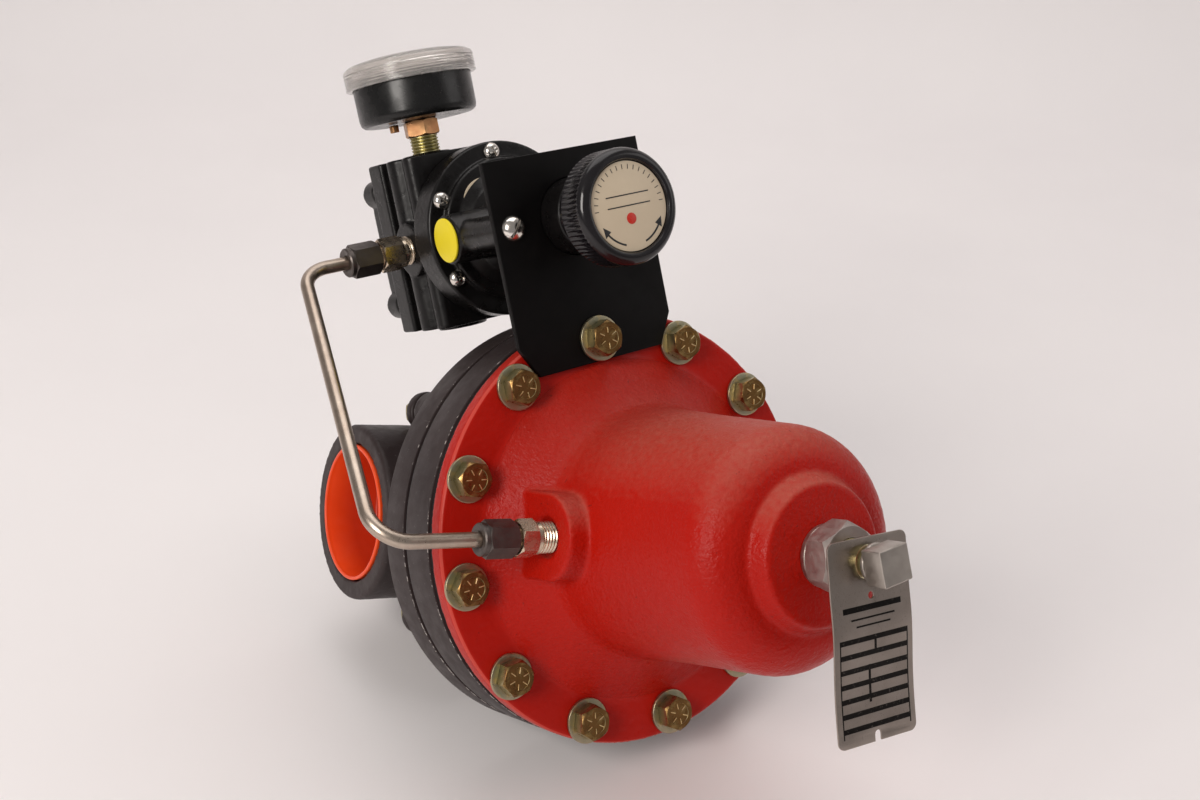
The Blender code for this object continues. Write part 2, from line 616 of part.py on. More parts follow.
def main():
    spring_housing()
    sheet("upper_diaphragm", UPPER_SHEET, RUBBER)
    spacer_ring()
    sheet("lower_diaphragm", LOWER_SHEET, RUBBER)
    lower_case()
    body_gasket()
    valve_body()
    bottom_plug()
    for number, place in enumerate(BOLT_PLACES, 1):
        flange_bolt(number, place)
    for number, place in enumerate(BODY_SCREW_PLACES, 1):
        body_screw(number, place)
    port_plug("port_plug_left", PORT_AXIS)
    port_plug("port_plug_right", OTHER_PORT_AXIS)
    trim()
    range_spring()
    adjuster()
    name_tag()
    mounting_bracket()
    regulator()
    knob()
    gauge()
    loading_line()
    stand_on_floor()


main()
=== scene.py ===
"""Looks of the diaphragm regulating valve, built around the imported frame.

Pieces are shaped in millimetres on the valve's own axes: X to the right, Y towards the bracket, Z along
the main axis to the nose, origin in the red flange's front face. VALVE carries them into the frame.
"""

import json
import math

import bmesh
import bpy
from mathutils import Matrix, Vector, noise


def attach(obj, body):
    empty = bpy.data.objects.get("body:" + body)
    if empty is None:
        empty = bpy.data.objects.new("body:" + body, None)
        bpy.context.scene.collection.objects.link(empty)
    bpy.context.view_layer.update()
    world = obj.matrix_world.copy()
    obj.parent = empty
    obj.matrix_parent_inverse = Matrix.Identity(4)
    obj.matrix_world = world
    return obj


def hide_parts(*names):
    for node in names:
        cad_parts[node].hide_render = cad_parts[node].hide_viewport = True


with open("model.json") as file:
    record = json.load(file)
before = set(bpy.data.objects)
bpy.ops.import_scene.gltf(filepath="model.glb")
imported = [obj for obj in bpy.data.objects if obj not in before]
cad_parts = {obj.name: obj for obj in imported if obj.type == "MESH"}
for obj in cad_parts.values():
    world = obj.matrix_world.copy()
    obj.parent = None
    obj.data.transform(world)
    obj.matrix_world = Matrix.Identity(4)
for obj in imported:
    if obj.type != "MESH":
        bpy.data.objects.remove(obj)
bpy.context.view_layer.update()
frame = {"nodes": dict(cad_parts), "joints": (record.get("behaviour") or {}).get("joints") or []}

MM = 0.001
TAG_Z = 155.0  # height of the name tag on the main axis
PORT_ANGLE = 165.0
FLANGE_R = 98.4
BOLT_CIRCLE_R = 88.9
BOLT_COUNT = 12
RUN_Z = -124.0
RUN_R = 43.5
RUN_HALF = 84.0
SIGNAL_Z = 29.0
SIGNAL_SEAT = 63.5
CHAMBER_R = 66.0
NECK_R = 52.0
JOINT_Z = -103.0
BODY_JOINT_Z = -104.6
BODY_FLANGE_BACK = -111.0
EAR_CIRCLE_R = 72.5
EAR_R = 10.3
EAR_TURN = 44.0
BARREL_R = 47.0
BARREL_BACK = -168.0
PLUG_BACK = -185.0
PLUG_FLATS = 81.8
PORT_R = 34.0
KNOB_Y = 144.5
TAG_BANDS = 7
SUPPLY_Z = -88.0
TUBE_R = 3.175
BOLT_FLATS = 14.3  # of the flange bolts, the connectors and the tube nuts
SCREW_FLATS = 12.7
SCREW_HIGH = 7.5
LOCK_NUT_FLATS = 25.4
SCREW_THREAD_R = 7.94
SCREW_PITCH = 1.41
PIPE_THREAD_R = 6.9
GAUGE_DIAL_Y = 222.0
CAMERA_PLACE = (-360.9, 154.4, 565.8)
CAMERA_AHEAD = (0.5288, -0.1379, -0.8375)
CAMERA_RIGHT = (0.8147, -0.1944, 0.5464)
CAMERA_LENS = 44.89
SIGNAL_BOSS_HALF = 18.7
TAG_TURN = -7.8  # degrees the tag hangs off the bracket's upright
OWN_PLACE = "own_place"  # the attribute that keeps a vertex's place on its piece's own axes

JOINTS = {joint["name"]: joint for joint in frame["joints"]}


def valve_axes():
    """The valve's axes in the frame, from the name tag's hinge, which lies on the main axis."""
    hinge = JOINTS["name_tag_swing"]
    main = Vector(hinge["axis"]).normalized()
    right = Vector((1.0, 0.0, 0.0))
    origin = Vector(hinge["pos_m"]) - main * TAG_Z * MM
    basis = Matrix((right, main.cross(right), main)).transposed().to_4x4()
    return Matrix.Translation(origin) @ basis


VALVE = valve_axes()


def axes(at=(0, 0, 0), x_axis=(1, 0, 0), z_axis=(0, 0, 1)):
    """Axes of a sub-assembly, given on the valve's own axes."""
    x_axis, z_axis = Vector(x_axis), Vector(z_axis)
    basis = Matrix((x_axis, z_axis.cross(x_axis), z_axis)).transposed().to_4x4()
    return VALVE @ Matrix.Translation(Vector(at) * MM) @ basis


TURN = math.radians(PORT_ANGLE)
PORT_WAY = Vector((math.cos(TURN), math.sin(TURN), 0.0))
LEFT_PORT = axes((0, 0, RUN_Z), (0, 0, 1), PORT_WAY)
RIGHT_PORT = axes((0, 0, RUN_Z), (0, 0, 1), -PORT_WAY)
SIGNAL = axes((0, 0, SIGNAL_Z), (0, 0, 1), PORT_WAY)
PILOT = axes((0, KNOB_Y, 0))
SUPPLY = axes((0, KNOB_Y - 1.5, SUPPLY_Z), (0, 0, 1), (-1, 0, 0))
GAUGE = axes((-15, 0, -93), (1, 0, 0), (0, 1, 0))
BLOCK = axes((0, 0, 0), (1, 0, 0), (0, 1, 0))
BONNET_SIDE = axes((0, KNOB_Y, -45), (0, 0, 1), (-1, 0, 0))


# ---------------------------------------------------------------- outlines

def arc(centre_x, centre_y, radius, start, end, count):
    angles = [math.radians(start + (end - start) * i / count) for i in range(count + 1)]
    return [(centre_x + radius * math.cos(a), centre_y + radius * math.sin(a)) for a in angles]


def circle(radius, count=64, x=0.0, y=0.0):
    return arc(x, y, radius, 0, 360 - 360 / count, count - 1)


def round_box(left, right, low, high, radius, count=6):
    points = arc(right - radius, high - radius, radius, 0, 90, count)
    points += arc(left + radius, high - radius, radius, 90, 180, count)
    points += arc(left + radius, low + radius, radius, 180, 270, count)
    points += arc(right - radius, low + radius, radius, 270, 360, count)
    return points


def bar_outline(start, end, half):
    """A straight mark along X."""
    return [(start, -half), (end, -half), (end, half), (start, half)]


def around(radius, count, first=90.0):
    angles = [math.radians(first + 360.0 * i / count) for i in range(count)]
    return [(radius * math.cos(a), radius * math.sin(a)) for a in angles]


def eased(profile, radius, closed=False, count=3):
    """A profile with its corners rounded by curves that start at most radius from each corner."""
    points = [Vector(p) for p in profile]
    total = len(points)
    made = []
    for i, corner in enumerate(points):
        if not closed and i in (0, total - 1):
            made.append(corner)
            continue
        before, after = points[i - 1], points[(i + 1) % total]
        to_before, to_after = before - corner, after - corner
        reach = min(radius, to_before.length * 0.45, to_after.length * 0.45)
        start = corner + to_before.normalized() * reach
        end = corner + to_after.normalized() * reach
        for step in range(count + 1):
            t = step / count
            made.append(start * (1 - t) ** 2 + corner * 2 * t * (1 - t) + end * t * t)
    return [tuple(p) for p in made]


# ---------------------------------------------------------------- meshes, in millimetres

def smooth(mesh, angle):
    """Smooth shading, with edges sharper than the angle kept sharp."""
    mesh.shade_smooth()
    mesh.set_sharp_from_angle(angle=math.radians(angle))
    return mesh


def to_mesh(name, shape, angle=35.0):
    """A Blender mesh in metres from a bmesh in millimetres."""
    mesh = bpy.data.meshes.new(name)
    bmesh.ops.recalc_face_normals(shape, faces=shape.faces)
    shape.to_mesh(mesh)
    shape.free()
    mesh.transform(Matrix.Scale(MM, 4))
    return smooth(mesh, angle)


def lathe(name, profile, steps=96, ring=False, bend=None, angle=35.0):
    """A turned mesh. bend(radius, height, angle) may change the radius, for knurls and flutes."""
    shape = bmesh.new()
    rows = []
    for radius, height in profile:
        if radius < 1e-6:
            rows.append([shape.verts.new((0, 0, height))])
            continue
        row = []
        for i in range(steps):
            turn = 2 * math.pi * i / steps
            r = bend(radius, height, turn) if bend else radius
            row.append(shape.verts.new((r * math.cos(turn), r * math.sin(turn), height)))
        rows.append(row)
    pairs = list(zip(rows, rows[1:]))
    if ring:
        pairs.append((rows[-1], rows[0]))
    for upper, lower in pairs:
        if len(upper) == 1 and len(lower) == 1:
            continue
        for i in range(steps):
            j = (i + 1) % steps
            corners = [upper[i % len(upper)], upper[j % len(upper)]]
            corners += [lower[j % len(lower)], lower[i % len(lower)]]
            shape.faces.new(dict.fromkeys(corners))
    return to_mesh(name, shape, angle)


def evaluated(guide):
    """The mesh of a guide object with its modifiers, bevel or extrusion applied; the guide is removed."""
    bpy.context.scene.collection.objects.link(guide)
    bpy.context.view_layer.update()
    mesh = bpy.data.meshes.new_from_object(guide.evaluated_get(bpy.context.evaluated_depsgraph_get()))
    bpy.data.objects.remove(guide)
    return mesh


def band(name, outer, inner, high, low, ease, steps=96):
    """A ring of rectangular section with eased edges."""
    section = [(outer, high), (outer, low), (inner, low), (inner, high)]
    return lathe(name, eased(section, ease, True), steps, True)


def puck(name, radius, high, low, ease, steps=64):
    """A solid round with eased edges."""
    return lathe(name, eased([(0, high), (radius, high), (radius, low), (0, low)], ease), steps)


def slab(name, outlines, low, high, edge=0.3, angle=35.0):
    """A flat mesh with eased edges; the first outline is its edge and any others are holes."""
    curve = bpy.data.curves.new(name, "CURVE")
    curve.dimensions = "2D"
    curve.fill_mode = "BOTH"
    curve.extrude = (high - low) / 2 - edge
    curve.bevel_depth = edge
    curve.bevel_resolution = 2
    curve.offset = -edge
    for outline in outlines:
        spline = curve.splines.new("POLY")
        spline.points.add(len(outline) - 1)
        for point, (x, y) in zip(spline.points, outline):
            point.co = (x, y, 0.0, 1.0)
        spline.use_cyclic_u = True
    mesh = evaluated(bpy.data.objects.new(name, curve))
    shape = bmesh.new()
    shape.from_mesh(mesh)
    bmesh.ops.remove_doubles(shape, verts=shape.verts, dist=0.001)
    bmesh.ops.translate(shape, verts=shape.verts, vec=(0, 0, (low + high) / 2))
    bpy.data.meshes.remove(mesh)
    return to_mesh(name, shape, angle)


def placed(mesh, at=(0, 0, 0), spin=0.0, about="Z"):
    """The mesh moved in its own axes, in millimetres, after a turn in degrees."""
    mesh.transform(Matrix.Translation(Vector(at) * MM) @ Matrix.Rotation(math.radians(spin), 4, about))
    return mesh


def moved(mesh, matrix):
    """The mesh of one set of axes, given on another."""
    mesh.transform(matrix)
    return mesh


def merged(name, *meshes):
    """One mesh from several that don't need a boolean."""
    shape = bmesh.new()
    for mesh in meshes:
        shape.from_mesh(mesh)
    made = bpy.data.meshes.new(name)
    shape.to_mesh(made)
    shape.free()
    return made


def combined(mesh, others, operation):
    """The mesh with each of the others joined to it or cut from it."""
    base = bpy.data.objects.new("base", mesh)
    tools = []
    for other in others:
        tool = bpy.data.objects.new("tool", other)
        bpy.context.scene.collection.objects.link(tool)
        tools.append(tool)
        step = base.modifiers.new("step", "BOOLEAN")
        step.operation = operation
        step.object = tool
    made = evaluated(base)
    for used in tools:
        bpy.data.objects.remove(used)
    return made


def cast(mesh, voxel, relax, grain=0.0, grain_size=3.0):
    """The mesh with the soft corners and the slightly uneven skin of a sand casting."""
    base = bpy.data.objects.new("base", mesh)
    remesh = base.modifiers.new("remesh", "REMESH")
    remesh.mode = "VOXEL"
    remesh.voxel_size = voxel * MM
    soften = base.modifiers.new("soften", "SMOOTH")
    soften.factor = 0.5
    soften.iterations = relax
    made = evaluated(base)
    if grain:
        normals = [vertex.normal.copy() for vertex in made.vertices]
        for vertex, normal in zip(made.vertices, normals):
            spot = vertex.co / (grain_size * MM)
            rise = noise.noise(spot) + 0.5 * noise.noise(spot * 2.3)
            vertex.co += normal * (rise * grain * MM)
    made.shade_smooth()
    return made


def rounded_route(corners, radius, count):
    points = [corners[0]]
    for before, corner, after in zip(corners, corners[1:], corners[2:]):
        inward = (before - corner).normalized()
        outward = (after - corner).normalized()
        half = inward.angle(outward) / 2
        reach = radius / math.tan(half)
        centre = corner + (inward + outward).normalized() * radius / math.sin(half)
        start = (corner + inward * reach - centre).normalized()
        end = (corner + outward * reach - centre).normalized()
        points += [centre + start.slerp(end, i / count) * radius for i in range(count + 1)]
    return points + [corners[-1]]


# ---------------------------------------------------------------- materials

class Finish:
    """A Principled material and the nodes that vary it over the surface.

    Coordinates are the piece's own, from before it was put in place. add() stores them on its mesh;
    a surface that add() didn't make has stored=False and its object's coordinates.
    """

    def __init__(self, name, colour, roughness, metallic=0.0, stored=True, **sockets):
        self.material = bpy.data.materials.new(name)
        self.material.use_nodes = True
        self.tree = self.material.node_tree
        self.shader = self.tree.nodes["Principled BSDF"]
        self.shader.inputs["Base Color"].default_value = (*colour, 1.0)
        self.shader.inputs["Roughness"].default_value = roughness
        self.shader.inputs["Metallic"].default_value = metallic
        for label, value in sockets.items():
            self.shader.inputs[label.replace("_", " ")].default_value = value
        self.colour = self.constant(colour)
        if stored:
            node = self.tree.nodes.new("ShaderNodeAttribute")
            node.attribute_name = OWN_PLACE
            self.place = node.outputs["Vector"]
        else:
            self.place = self.tree.nodes.new("ShaderNodeTexCoord").outputs["Object"]

    def constant(self, colour):
        node = self.tree.nodes.new("ShaderNodeRGB")
        node.outputs[0].default_value = (*colour, 1.0)
        return node.outputs[0]

    def noise(self, size, detail=3.0, stretch=None):
        """Noise whose features measure about size millimetres."""
        node = self.tree.nodes.new("ShaderNodeTexNoise")
        node.inputs["Scale"].default_value = 1000.0 / size
        node.inputs["Detail"].default_value = detail
        source = self.place
        if stretch:
            scale = self.tree.nodes.new("ShaderNodeMapping")
            scale.inputs["Scale"].default_value = stretch
            self.tree.links.new(source, scale.inputs["Vector"])
            source = scale.outputs[0]
        self.tree.links.new(source, node.inputs["Vector"])
        return node.outputs["Fac"]

    def spread(self, value, low, high, to_low=0.0, to_high=1.0):
        node = self.tree.nodes.new("ShaderNodeMapRange")
        for label, number in (("From Min", low), ("From Max", high), ("To Min", to_low), ("To Max", to_high)):
            node.inputs[label].default_value = number
        self.tree.links.new(value, node.inputs["Value"])
        return node.outputs[0]

    def math(self, operation, first, second=0.0):
        node = self.tree.nodes.new("ShaderNodeMath")
        node.operation = operation
        for socket, value in zip(node.inputs, (first, second)):
            if isinstance(value, (int, float)):
                socket.default_value = value
            else:
                self.tree.links.new(value, socket)
        return node.outputs[0]

    def times(self, first, second):
        return self.math("MULTIPLY", first, second)

    def part(self, axis):
        """One coordinate of the surface point, in millimetres."""
        node = self.tree.nodes.new("ShaderNodeSeparateXYZ")
        self.tree.links.new(self.place, node.inputs[0])
        return self.times(node.outputs[axis], 1000.0)

    def facing_up(self):
        """The upward part of the surface's direction."""
        direction = self.tree.nodes.new("ShaderNodeNewGeometry").outputs["Normal"]
        node = self.tree.nodes.new("ShaderNodeSeparateXYZ")
        self.tree.links.new(direction, node.inputs[0])
        return node.outputs["Z"]

    def near(self, value, centre, half):
        """1 within half of the centre, 0 elsewhere."""
        away = self.math("ABSOLUTE", self.math("SUBTRACT", value, centre))
        return self.math("LESS_THAN", away, half)

    def radius(self):
        x, y = self.part(0), self.part(1)
        return self.math("SQRT", self.math("ADD", self.times(x, x), self.times(y, y)))

    def blend(self, factor, colour):
        """Mixes a colour over what the surface has so far."""
        node = self.tree.nodes.new("ShaderNodeMix")
        node.data_type = "RGBA"
        self.tree.links.new(factor, node.inputs[0])
        self.tree.links.new(self.colour, node.inputs[6])
        node.inputs[7].default_value = (*colour, 1.0)
        self.colour = node.outputs[2]

    def roughness(self, value):
        self.tree.links.new(value, self.shader.inputs["Roughness"])

    def bump(self, height, depth, strength=1.0):
        """Depth is in millimetres."""
        node = self.tree.nodes.new("ShaderNodeBump")
        node.inputs["Strength"].default_value = strength
        node.inputs["Distance"].default_value = depth * MM
        self.tree.links.new(height, node.inputs["Height"])
        before = self.shader.inputs["Normal"].links
        if before:
            self.tree.links.new(before[0].from_socket, node.inputs["Normal"])
        self.tree.links.new(node.outputs[0], self.shader.inputs["Normal"])

    def done(self):
        self.tree.links.new(self.colour, self.shader.inputs["Base Color"])
        return self.material


def red_enamel():
    f = Finish("red_enamel", (0.44, 0.0085, 0.0030), 0.35, Specular_IOR_Level=0.17)
    f.blend(f.spread(f.noise(60), 0.35, 0.7, 0.0, 0.4), (0.34, 0.006, 0.003))
    along = f.spread(f.part(2), 12.0, 55.0, 0.25, 1.0)
    upward = f.times(f.spread(f.facing_up(), 0.55, 0.95), along)
    dust = f.times(upward, f.spread(f.noise(2.4, 6), 0.3, 0.65, 0.55, 1.0))
    f.blend(f.times(dust, 0.46), (0.42, 0.16, 0.11))
    # lighter red along the flange's front rim edge: partly worn paint, partly a painted highlight on the edge
    rim = f.times(f.near(f.radius(), FLANGE_R, 1.0), f.near(f.part(2), 0, 1.5))
    f.blend(f.times(rim, 0.45), (0.70, 0.12, 0.09))
    specks = f.spread(f.noise(2.2, 2), 0.73, 0.76)
    f.blend(f.times(specks, 0.5), (0.10, 0.01, 0.008))
    f.roughness(f.math("ADD", f.spread(f.noise(5, 5), 0.3, 0.7, 0.27, 0.42), f.times(dust, 0.25)))
    machined = f.times(f.near(f.radius(), 89.0, 11.5), f.near(f.part(2), -4.0, 5.0))
    rough_cast = f.spread(machined, 0.0, 1.0, 1.0, 0.25)
    f.bump(f.times(f.noise(1.7, 4), rough_cast), 0.55, 0.8)
    f.bump(f.times(f.noise(0.8, 2), rough_cast), 0.22, 0.7)
    return f.done()


def dark_paint(name, chip_and_highlight_heights=(), grain=0.12):
    """Grey-black paint. The second argument lists the heights of edges given light dashes, partly paint
    knocked off and partly a painted highlight along the edge.
    """
    f = Finish(name, (0.030, 0.020, 0.020), 0.5, Specular_IOR_Level=0.28)
    f.blend(f.spread(f.noise(30), 0.35, 0.7, 0.0, 0.5), (0.048, 0.036, 0.035))
    f.blend(f.spread(f.noise(1.6, 3), 0.66, 0.72, 0.0, 0.35), (0.12, 0.11, 0.105))
    for height in chip_and_highlight_heights:
        # light dashes along the edge: partly chipped paint, partly a painted edge highlight, more of them low
        # on the ring
        edge = f.times(f.near(f.radius(), FLANGE_R, 0.6), f.near(f.part(2), height, 0.22))
        lower = f.spread(f.part(1), 60.0, -60.0, 0.0, 0.10)
        edge_dashes = f.spread(f.math("ADD", f.noise(2.2, 7), lower), 0.58, 0.66, 0.0, 0.8)
        f.blend(f.times(edge, edge_dashes), (0.50, 0.46, 0.43))
    f.roughness(f.spread(f.noise(7, 5), 0.3, 0.7, 0.40, 0.58))
    f.bump(f.noise(1.8, 4), grain, 0.6)
    return f.done()


def rubber():
    f = Finish("black_rubber", (0.010, 0.010, 0.010), 0.7)
    f.roughness(f.spread(f.noise(3), 0.3, 0.7, 0.6, 0.8))
    f.bump(f.noise(1.2, 4), 0.08, 0.5)
    return f.done()


def yellow_zinc(name, base, second, third):
    f = Finish(name, base, 0.33, 0.95)
    f.blend(f.spread(f.noise(6, 3), 0.38, 0.62), second)
    f.blend(f.spread(f.noise(3.1, 4), 0.5, 0.68, 0.0, 0.9), third)
    f.roughness(f.spread(f.noise(2.0, 4), 0.3, 0.7, 0.24, 0.48))
    f.bump(f.noise(0.8, 3), 0.06, 0.5)
    return f.done()


def brushed(name, base, second, rough=(0.25, 0.42), stretch=(1, 1, 12), size=2.0, stored=True):
    """Drawn or brushed metal with marks along one direction."""
    f = Finish(name, base, 0.3, 1.0, stored)
    f.blend(f.spread(f.noise(9, 3), 0.35, 0.7, 0.0, 0.8), second)
    f.roughness(f.spread(f.noise(size, 4, stretch), 0.3, 0.7, *rough))
    f.bump(f.noise(size * 0.4, 3, stretch), 0.008, 0.5)
    return f.done()


def black_gloss(name, base=(0.010, 0.009, 0.009), rough=(0.16, 0.34), grain=0.05, size=2.0, specular=0.5):
    f = Finish(name, base, 0.25, Specular_IOR_Level=specular)
    f.blend(f.spread(f.noise(14, 4), 0.4, 0.75, 0.0, 0.5), tuple(c * 2.2 for c in base))
    f.roughness(f.spread(f.noise(size * 3, 5), 0.3, 0.7, *rough))
    f.bump(f.noise(size, 4), grain, 0.6)
    return f.done()


def plastic(name, base, second, rough=(0.25, 0.4), **sockets):
    f = Finish(name, base, 0.3, **sockets)
    f.blend(f.spread(f.noise(20, 3), 0.35, 0.7, 0.0, 0.5), second)
    f.roughness(f.spread(f.noise(4, 4), 0.3, 0.7, *rough))
    f.bump(f.noise(1.5, 3), 0.03, 0.4)
    return f.done()


def plug_plastic():
    """Bright orange at the plug's rim, darkened inside the cup by painted shade."""
    f = Finish("orange_plastic", (0.90, 0.080, 0.010), 0.34)
    f.blend(f.spread(f.noise(20, 3), 0.35, 0.7, 0.0, 0.5), (0.80, 0.055, 0.006))
    # painted shade: the orange darkens from the cup's rim down towards its floor
    f.blend(f.spread(f.part(2), RUN_HALF - 1.0, RUN_HALF - 14.0, 0.0, 0.8), (0.42, 0.018, 0.003))
    f.roughness(f.spread(f.noise(4, 4), 0.3, 0.7, 0.28, 0.42))
    f.bump(f.noise(1.5, 3), 0.03, 0.4)
    return f.done()


def tag_metal():
    """Etched stainless tag: blank fields between dark bands, with a dark frame line and no lettering."""
    f = Finish("tag_metal", (0.36, 0.31, 0.275), 0.34, 1.0)
    f.blend(f.spread(f.noise(16, 4), 0.35, 0.7, 0.0, 0.7), (0.27, 0.23, 0.20))
    x, y = f.part(0), f.part(1)
    # Each mark is the middle and half width along X, then along Y.
    marks = [(0, 16.8, -28.2 - 5.55 * i, 1.0) for i in range(TAG_BANDS)]
    marks += [(side * 16.9, 0.3, -45.8, 18.6) for side in (-1, 1)]
    marks += [(-2.6, 0.6, -45.4, 7.2), (0.6, 0.6, -31.0, 2.8)]
    marks += [(0, 14.6, -16.6, 1.1), (0, 11.0, -20.4, 0.35), (0, 8.6, -23.2, 0.35)]
    dark = 0.0
    for middle_x, half_x, middle_y, half_y in marks:
        mark = f.times(f.near(x, middle_x, half_x), f.near(y, middle_y, half_y))
        dark = f.math("MAXIMUM", dark, mark)
    front = f.tree.nodes.new("ShaderNodeAttribute")
    front.attribute_name = "front"
    dark = f.times(dark, front.outputs["Fac"])
    worn = f.times(dark, f.spread(f.noise(1.1, 4), 0.25, 0.4, 0.75, 1.0))
    f.blend(worn, (0.018, 0.016, 0.015))
    f.roughness(f.spread(f.noise(1.6, 4, (14, 1, 1)), 0.3, 0.7, 0.26, 0.44))
    f.bump(f.noise(0.8, 3, (14, 1, 1)), 0.02, 0.5)
    return f.done()


def clear_plastic():
    f = Finish("clear_plastic", (0.90, 0.87, 0.84), 0.08, Transmission_Weight=0.82, IOR=1.45)
    f.roughness(f.spread(f.noise(5, 4), 0.3, 0.7, 0.05, 0.18))
    f.bump(f.noise(2.0, 3), 0.03, 0.4)
    return f.done()


EVEN = (1, 1, 1)
RED = red_enamel()
RING_PAINT = dark_paint("ring_paint", (-12.3, -36.3), 0.06)
BODY_PAINT = dark_paint("body_paint")
RUBBER = rubber()
ZINC = yellow_zinc("zinc_head", (0.42, 0.35, 0.19), (0.30, 0.27, 0.14), (0.50, 0.40, 0.22))
# darker copy of the zinc for the bolt heads' top faces: painted shade
SHADED_ZINC = yellow_zinc("zinc_painted_shade", (0.20, 0.105, 0.035), (0.13, 0.065, 0.022), (0.32, 0.21, 0.08))
# brighter copy of the zinc for the bolts' raised grade lines: painted highlight
HIGHLIGHT_ZINC = yellow_zinc("zinc_painted_highlight", (0.80, 0.60, 0.30), (0.66, 0.47, 0.20), (0.85, 0.70, 0.42))
WASHER_ZINC = yellow_zinc("zinc_washer", (0.40, 0.34, 0.23), (0.30, 0.29, 0.20), (0.46, 0.36, 0.19))
STAINLESS = brushed("stainless", (0.50, 0.42, 0.35), (0.38, 0.30, 0.24))
NUT_STEEL = brushed("nut_steel", (0.48, 0.42, 0.39), (0.34, 0.28, 0.26), (0.40, 0.60), EVEN, 3.0)
HEAD_STEEL = brushed("head_steel", (0.46, 0.42, 0.38), (0.34, 0.30, 0.27), (0.34, 0.52), EVEN, 3.0)
MACHINED = brushed("machined_steel", (0.46, 0.42, 0.38), (0.34, 0.30, 0.27), (0.34, 0.52), EVEN, 3.0, False)
NICKEL = brushed("nickel", (0.66, 0.56, 0.44), (0.50, 0.38, 0.27), (0.20, 0.34), EVEN, 3.0)
PHOSPHATE = brushed("phosphate", (0.105, 0.090, 0.084), (0.15, 0.13, 0.12), (0.34, 0.52), EVEN, 2.5)
CHROME = brushed("chrome", (0.78, 0.75, 0.71), (0.60, 0.54, 0.46), (0.10, 0.26), EVEN, 4.0)
BRASS = brushed("brass", (0.36, 0.17, 0.08), (0.46, 0.28, 0.13), (0.26, 0.44), EVEN, 3.0)
THREAD_BRASS = brushed("thread_brass", (0.50, 0.44, 0.22), (0.38, 0.36, 0.20), (0.26, 0.42), EVEN, 3.0)
BRACKET_COAT = black_gloss("bracket_coat", (0.0022, 0.0018, 0.0018), (0.42, 0.56), 0.03, 1.6, 0.13)
CASTING_BLACK = black_gloss("casting_black", (0.0045, 0.004, 0.004), (0.24, 0.38), 0.05, 1.6, 0.30)
KNOB_BLACK = black_gloss("knob_black", (0.007, 0.006, 0.007), (0.12, 0.24), 0.02, 2.0, 0.45)
CASE_BLACK = black_gloss("case_black", (0.005, 0.005, 0.005), (0.22, 0.34), 0.02, 2.0, 0.4)
ORANGE = plug_plastic()
CREAM = plastic("cream_label", (0.62, 0.52, 0.38), (0.54, 0.44, 0.31), (0.32, 0.45))
YELLOW = plastic("yellow_plastic", (0.86, 0.70, 0.012), (0.76, 0.60, 0.010), (0.36, 0.5))
LABEL_INK = plastic("label_ink", (0.012, 0.012, 0.014), (0.03, 0.03, 0.03))
LABEL_RED = plastic("label_red", (0.55, 0.03, 0.015), (0.48, 0.02, 0.012))
DIAL_WHITE = plastic("dial_white", (0.80, 0.79, 0.76), (0.74, 0.73, 0.70), (0.4, 0.6))
CLEAR = clear_plastic()


# ---------------------------------------------------------------- making pieces

def add(name, mesh, finish, where, replaces=(), body="valve"):
    """A finished piece: a copy of the mesh carried from the given axes to the frame, riding on a body."""
    mesh = mesh.copy()
    kept = mesh.attributes.new(OWN_PLACE, "FLOAT_VECTOR", "POINT")
    kept.data.foreach_set("vector", [part for vertex in mesh.vertices for part in vertex.co])
    mesh.transform(where)
    if not mesh.materials:
        mesh.materials.append(finish)
    made = bpy.data.objects.new(name, mesh)
    bpy.context.scene.collection.objects.link(made)
    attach(made, body)
    if replaces:
        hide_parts(*replaces)


def hexagon(flats, low, high, chamfer=1.0, bore=0.0, both=False):
    """A hexagonal head with chamfered corners, as a mesh."""
    corner = flats / math.sqrt(3)
    prism = slab("hexagon", [around(corner, 6, 0.0)], low, high, 0.12)
    inner = flats / 2 * 0.985
    profile = [(0, high + 0.01), (inner, high + 0.01), (corner + 0.4, high - chamfer)]
    if both:
        profile += [(corner + 0.4, low + chamfer), (inner, low - 0.01), (0, low - 0.01)]
    else:
        profile += [(corner + 0.4, low - 0.01), (0, low - 0.01)]
    made = combined(prism, [lathe("chamfer", profile, 48)], "INTERSECT")
    if bore:
        drill = lathe("drill", [(0, high + 1), (bore, high + 1), (bore, low - 1), (0, low - 1)], 40)
        made = combined(made, [drill], "DIFFERENCE")
    return smooth(made, 25)


def threads(radius, low, high, pitch, depth=0.6):
    """A profile with the ridges of a thread, running down from high to low."""
    points = []
    count = int((high - low) / pitch)
    for i in range(count):
        top = high - i * pitch
        points += [(radius - depth, top), (radius, top - pitch * 0.4), (radius, top - pitch * 0.6)]
    return points + [(radius - depth, high - count * pitch), (radius - depth, low)]


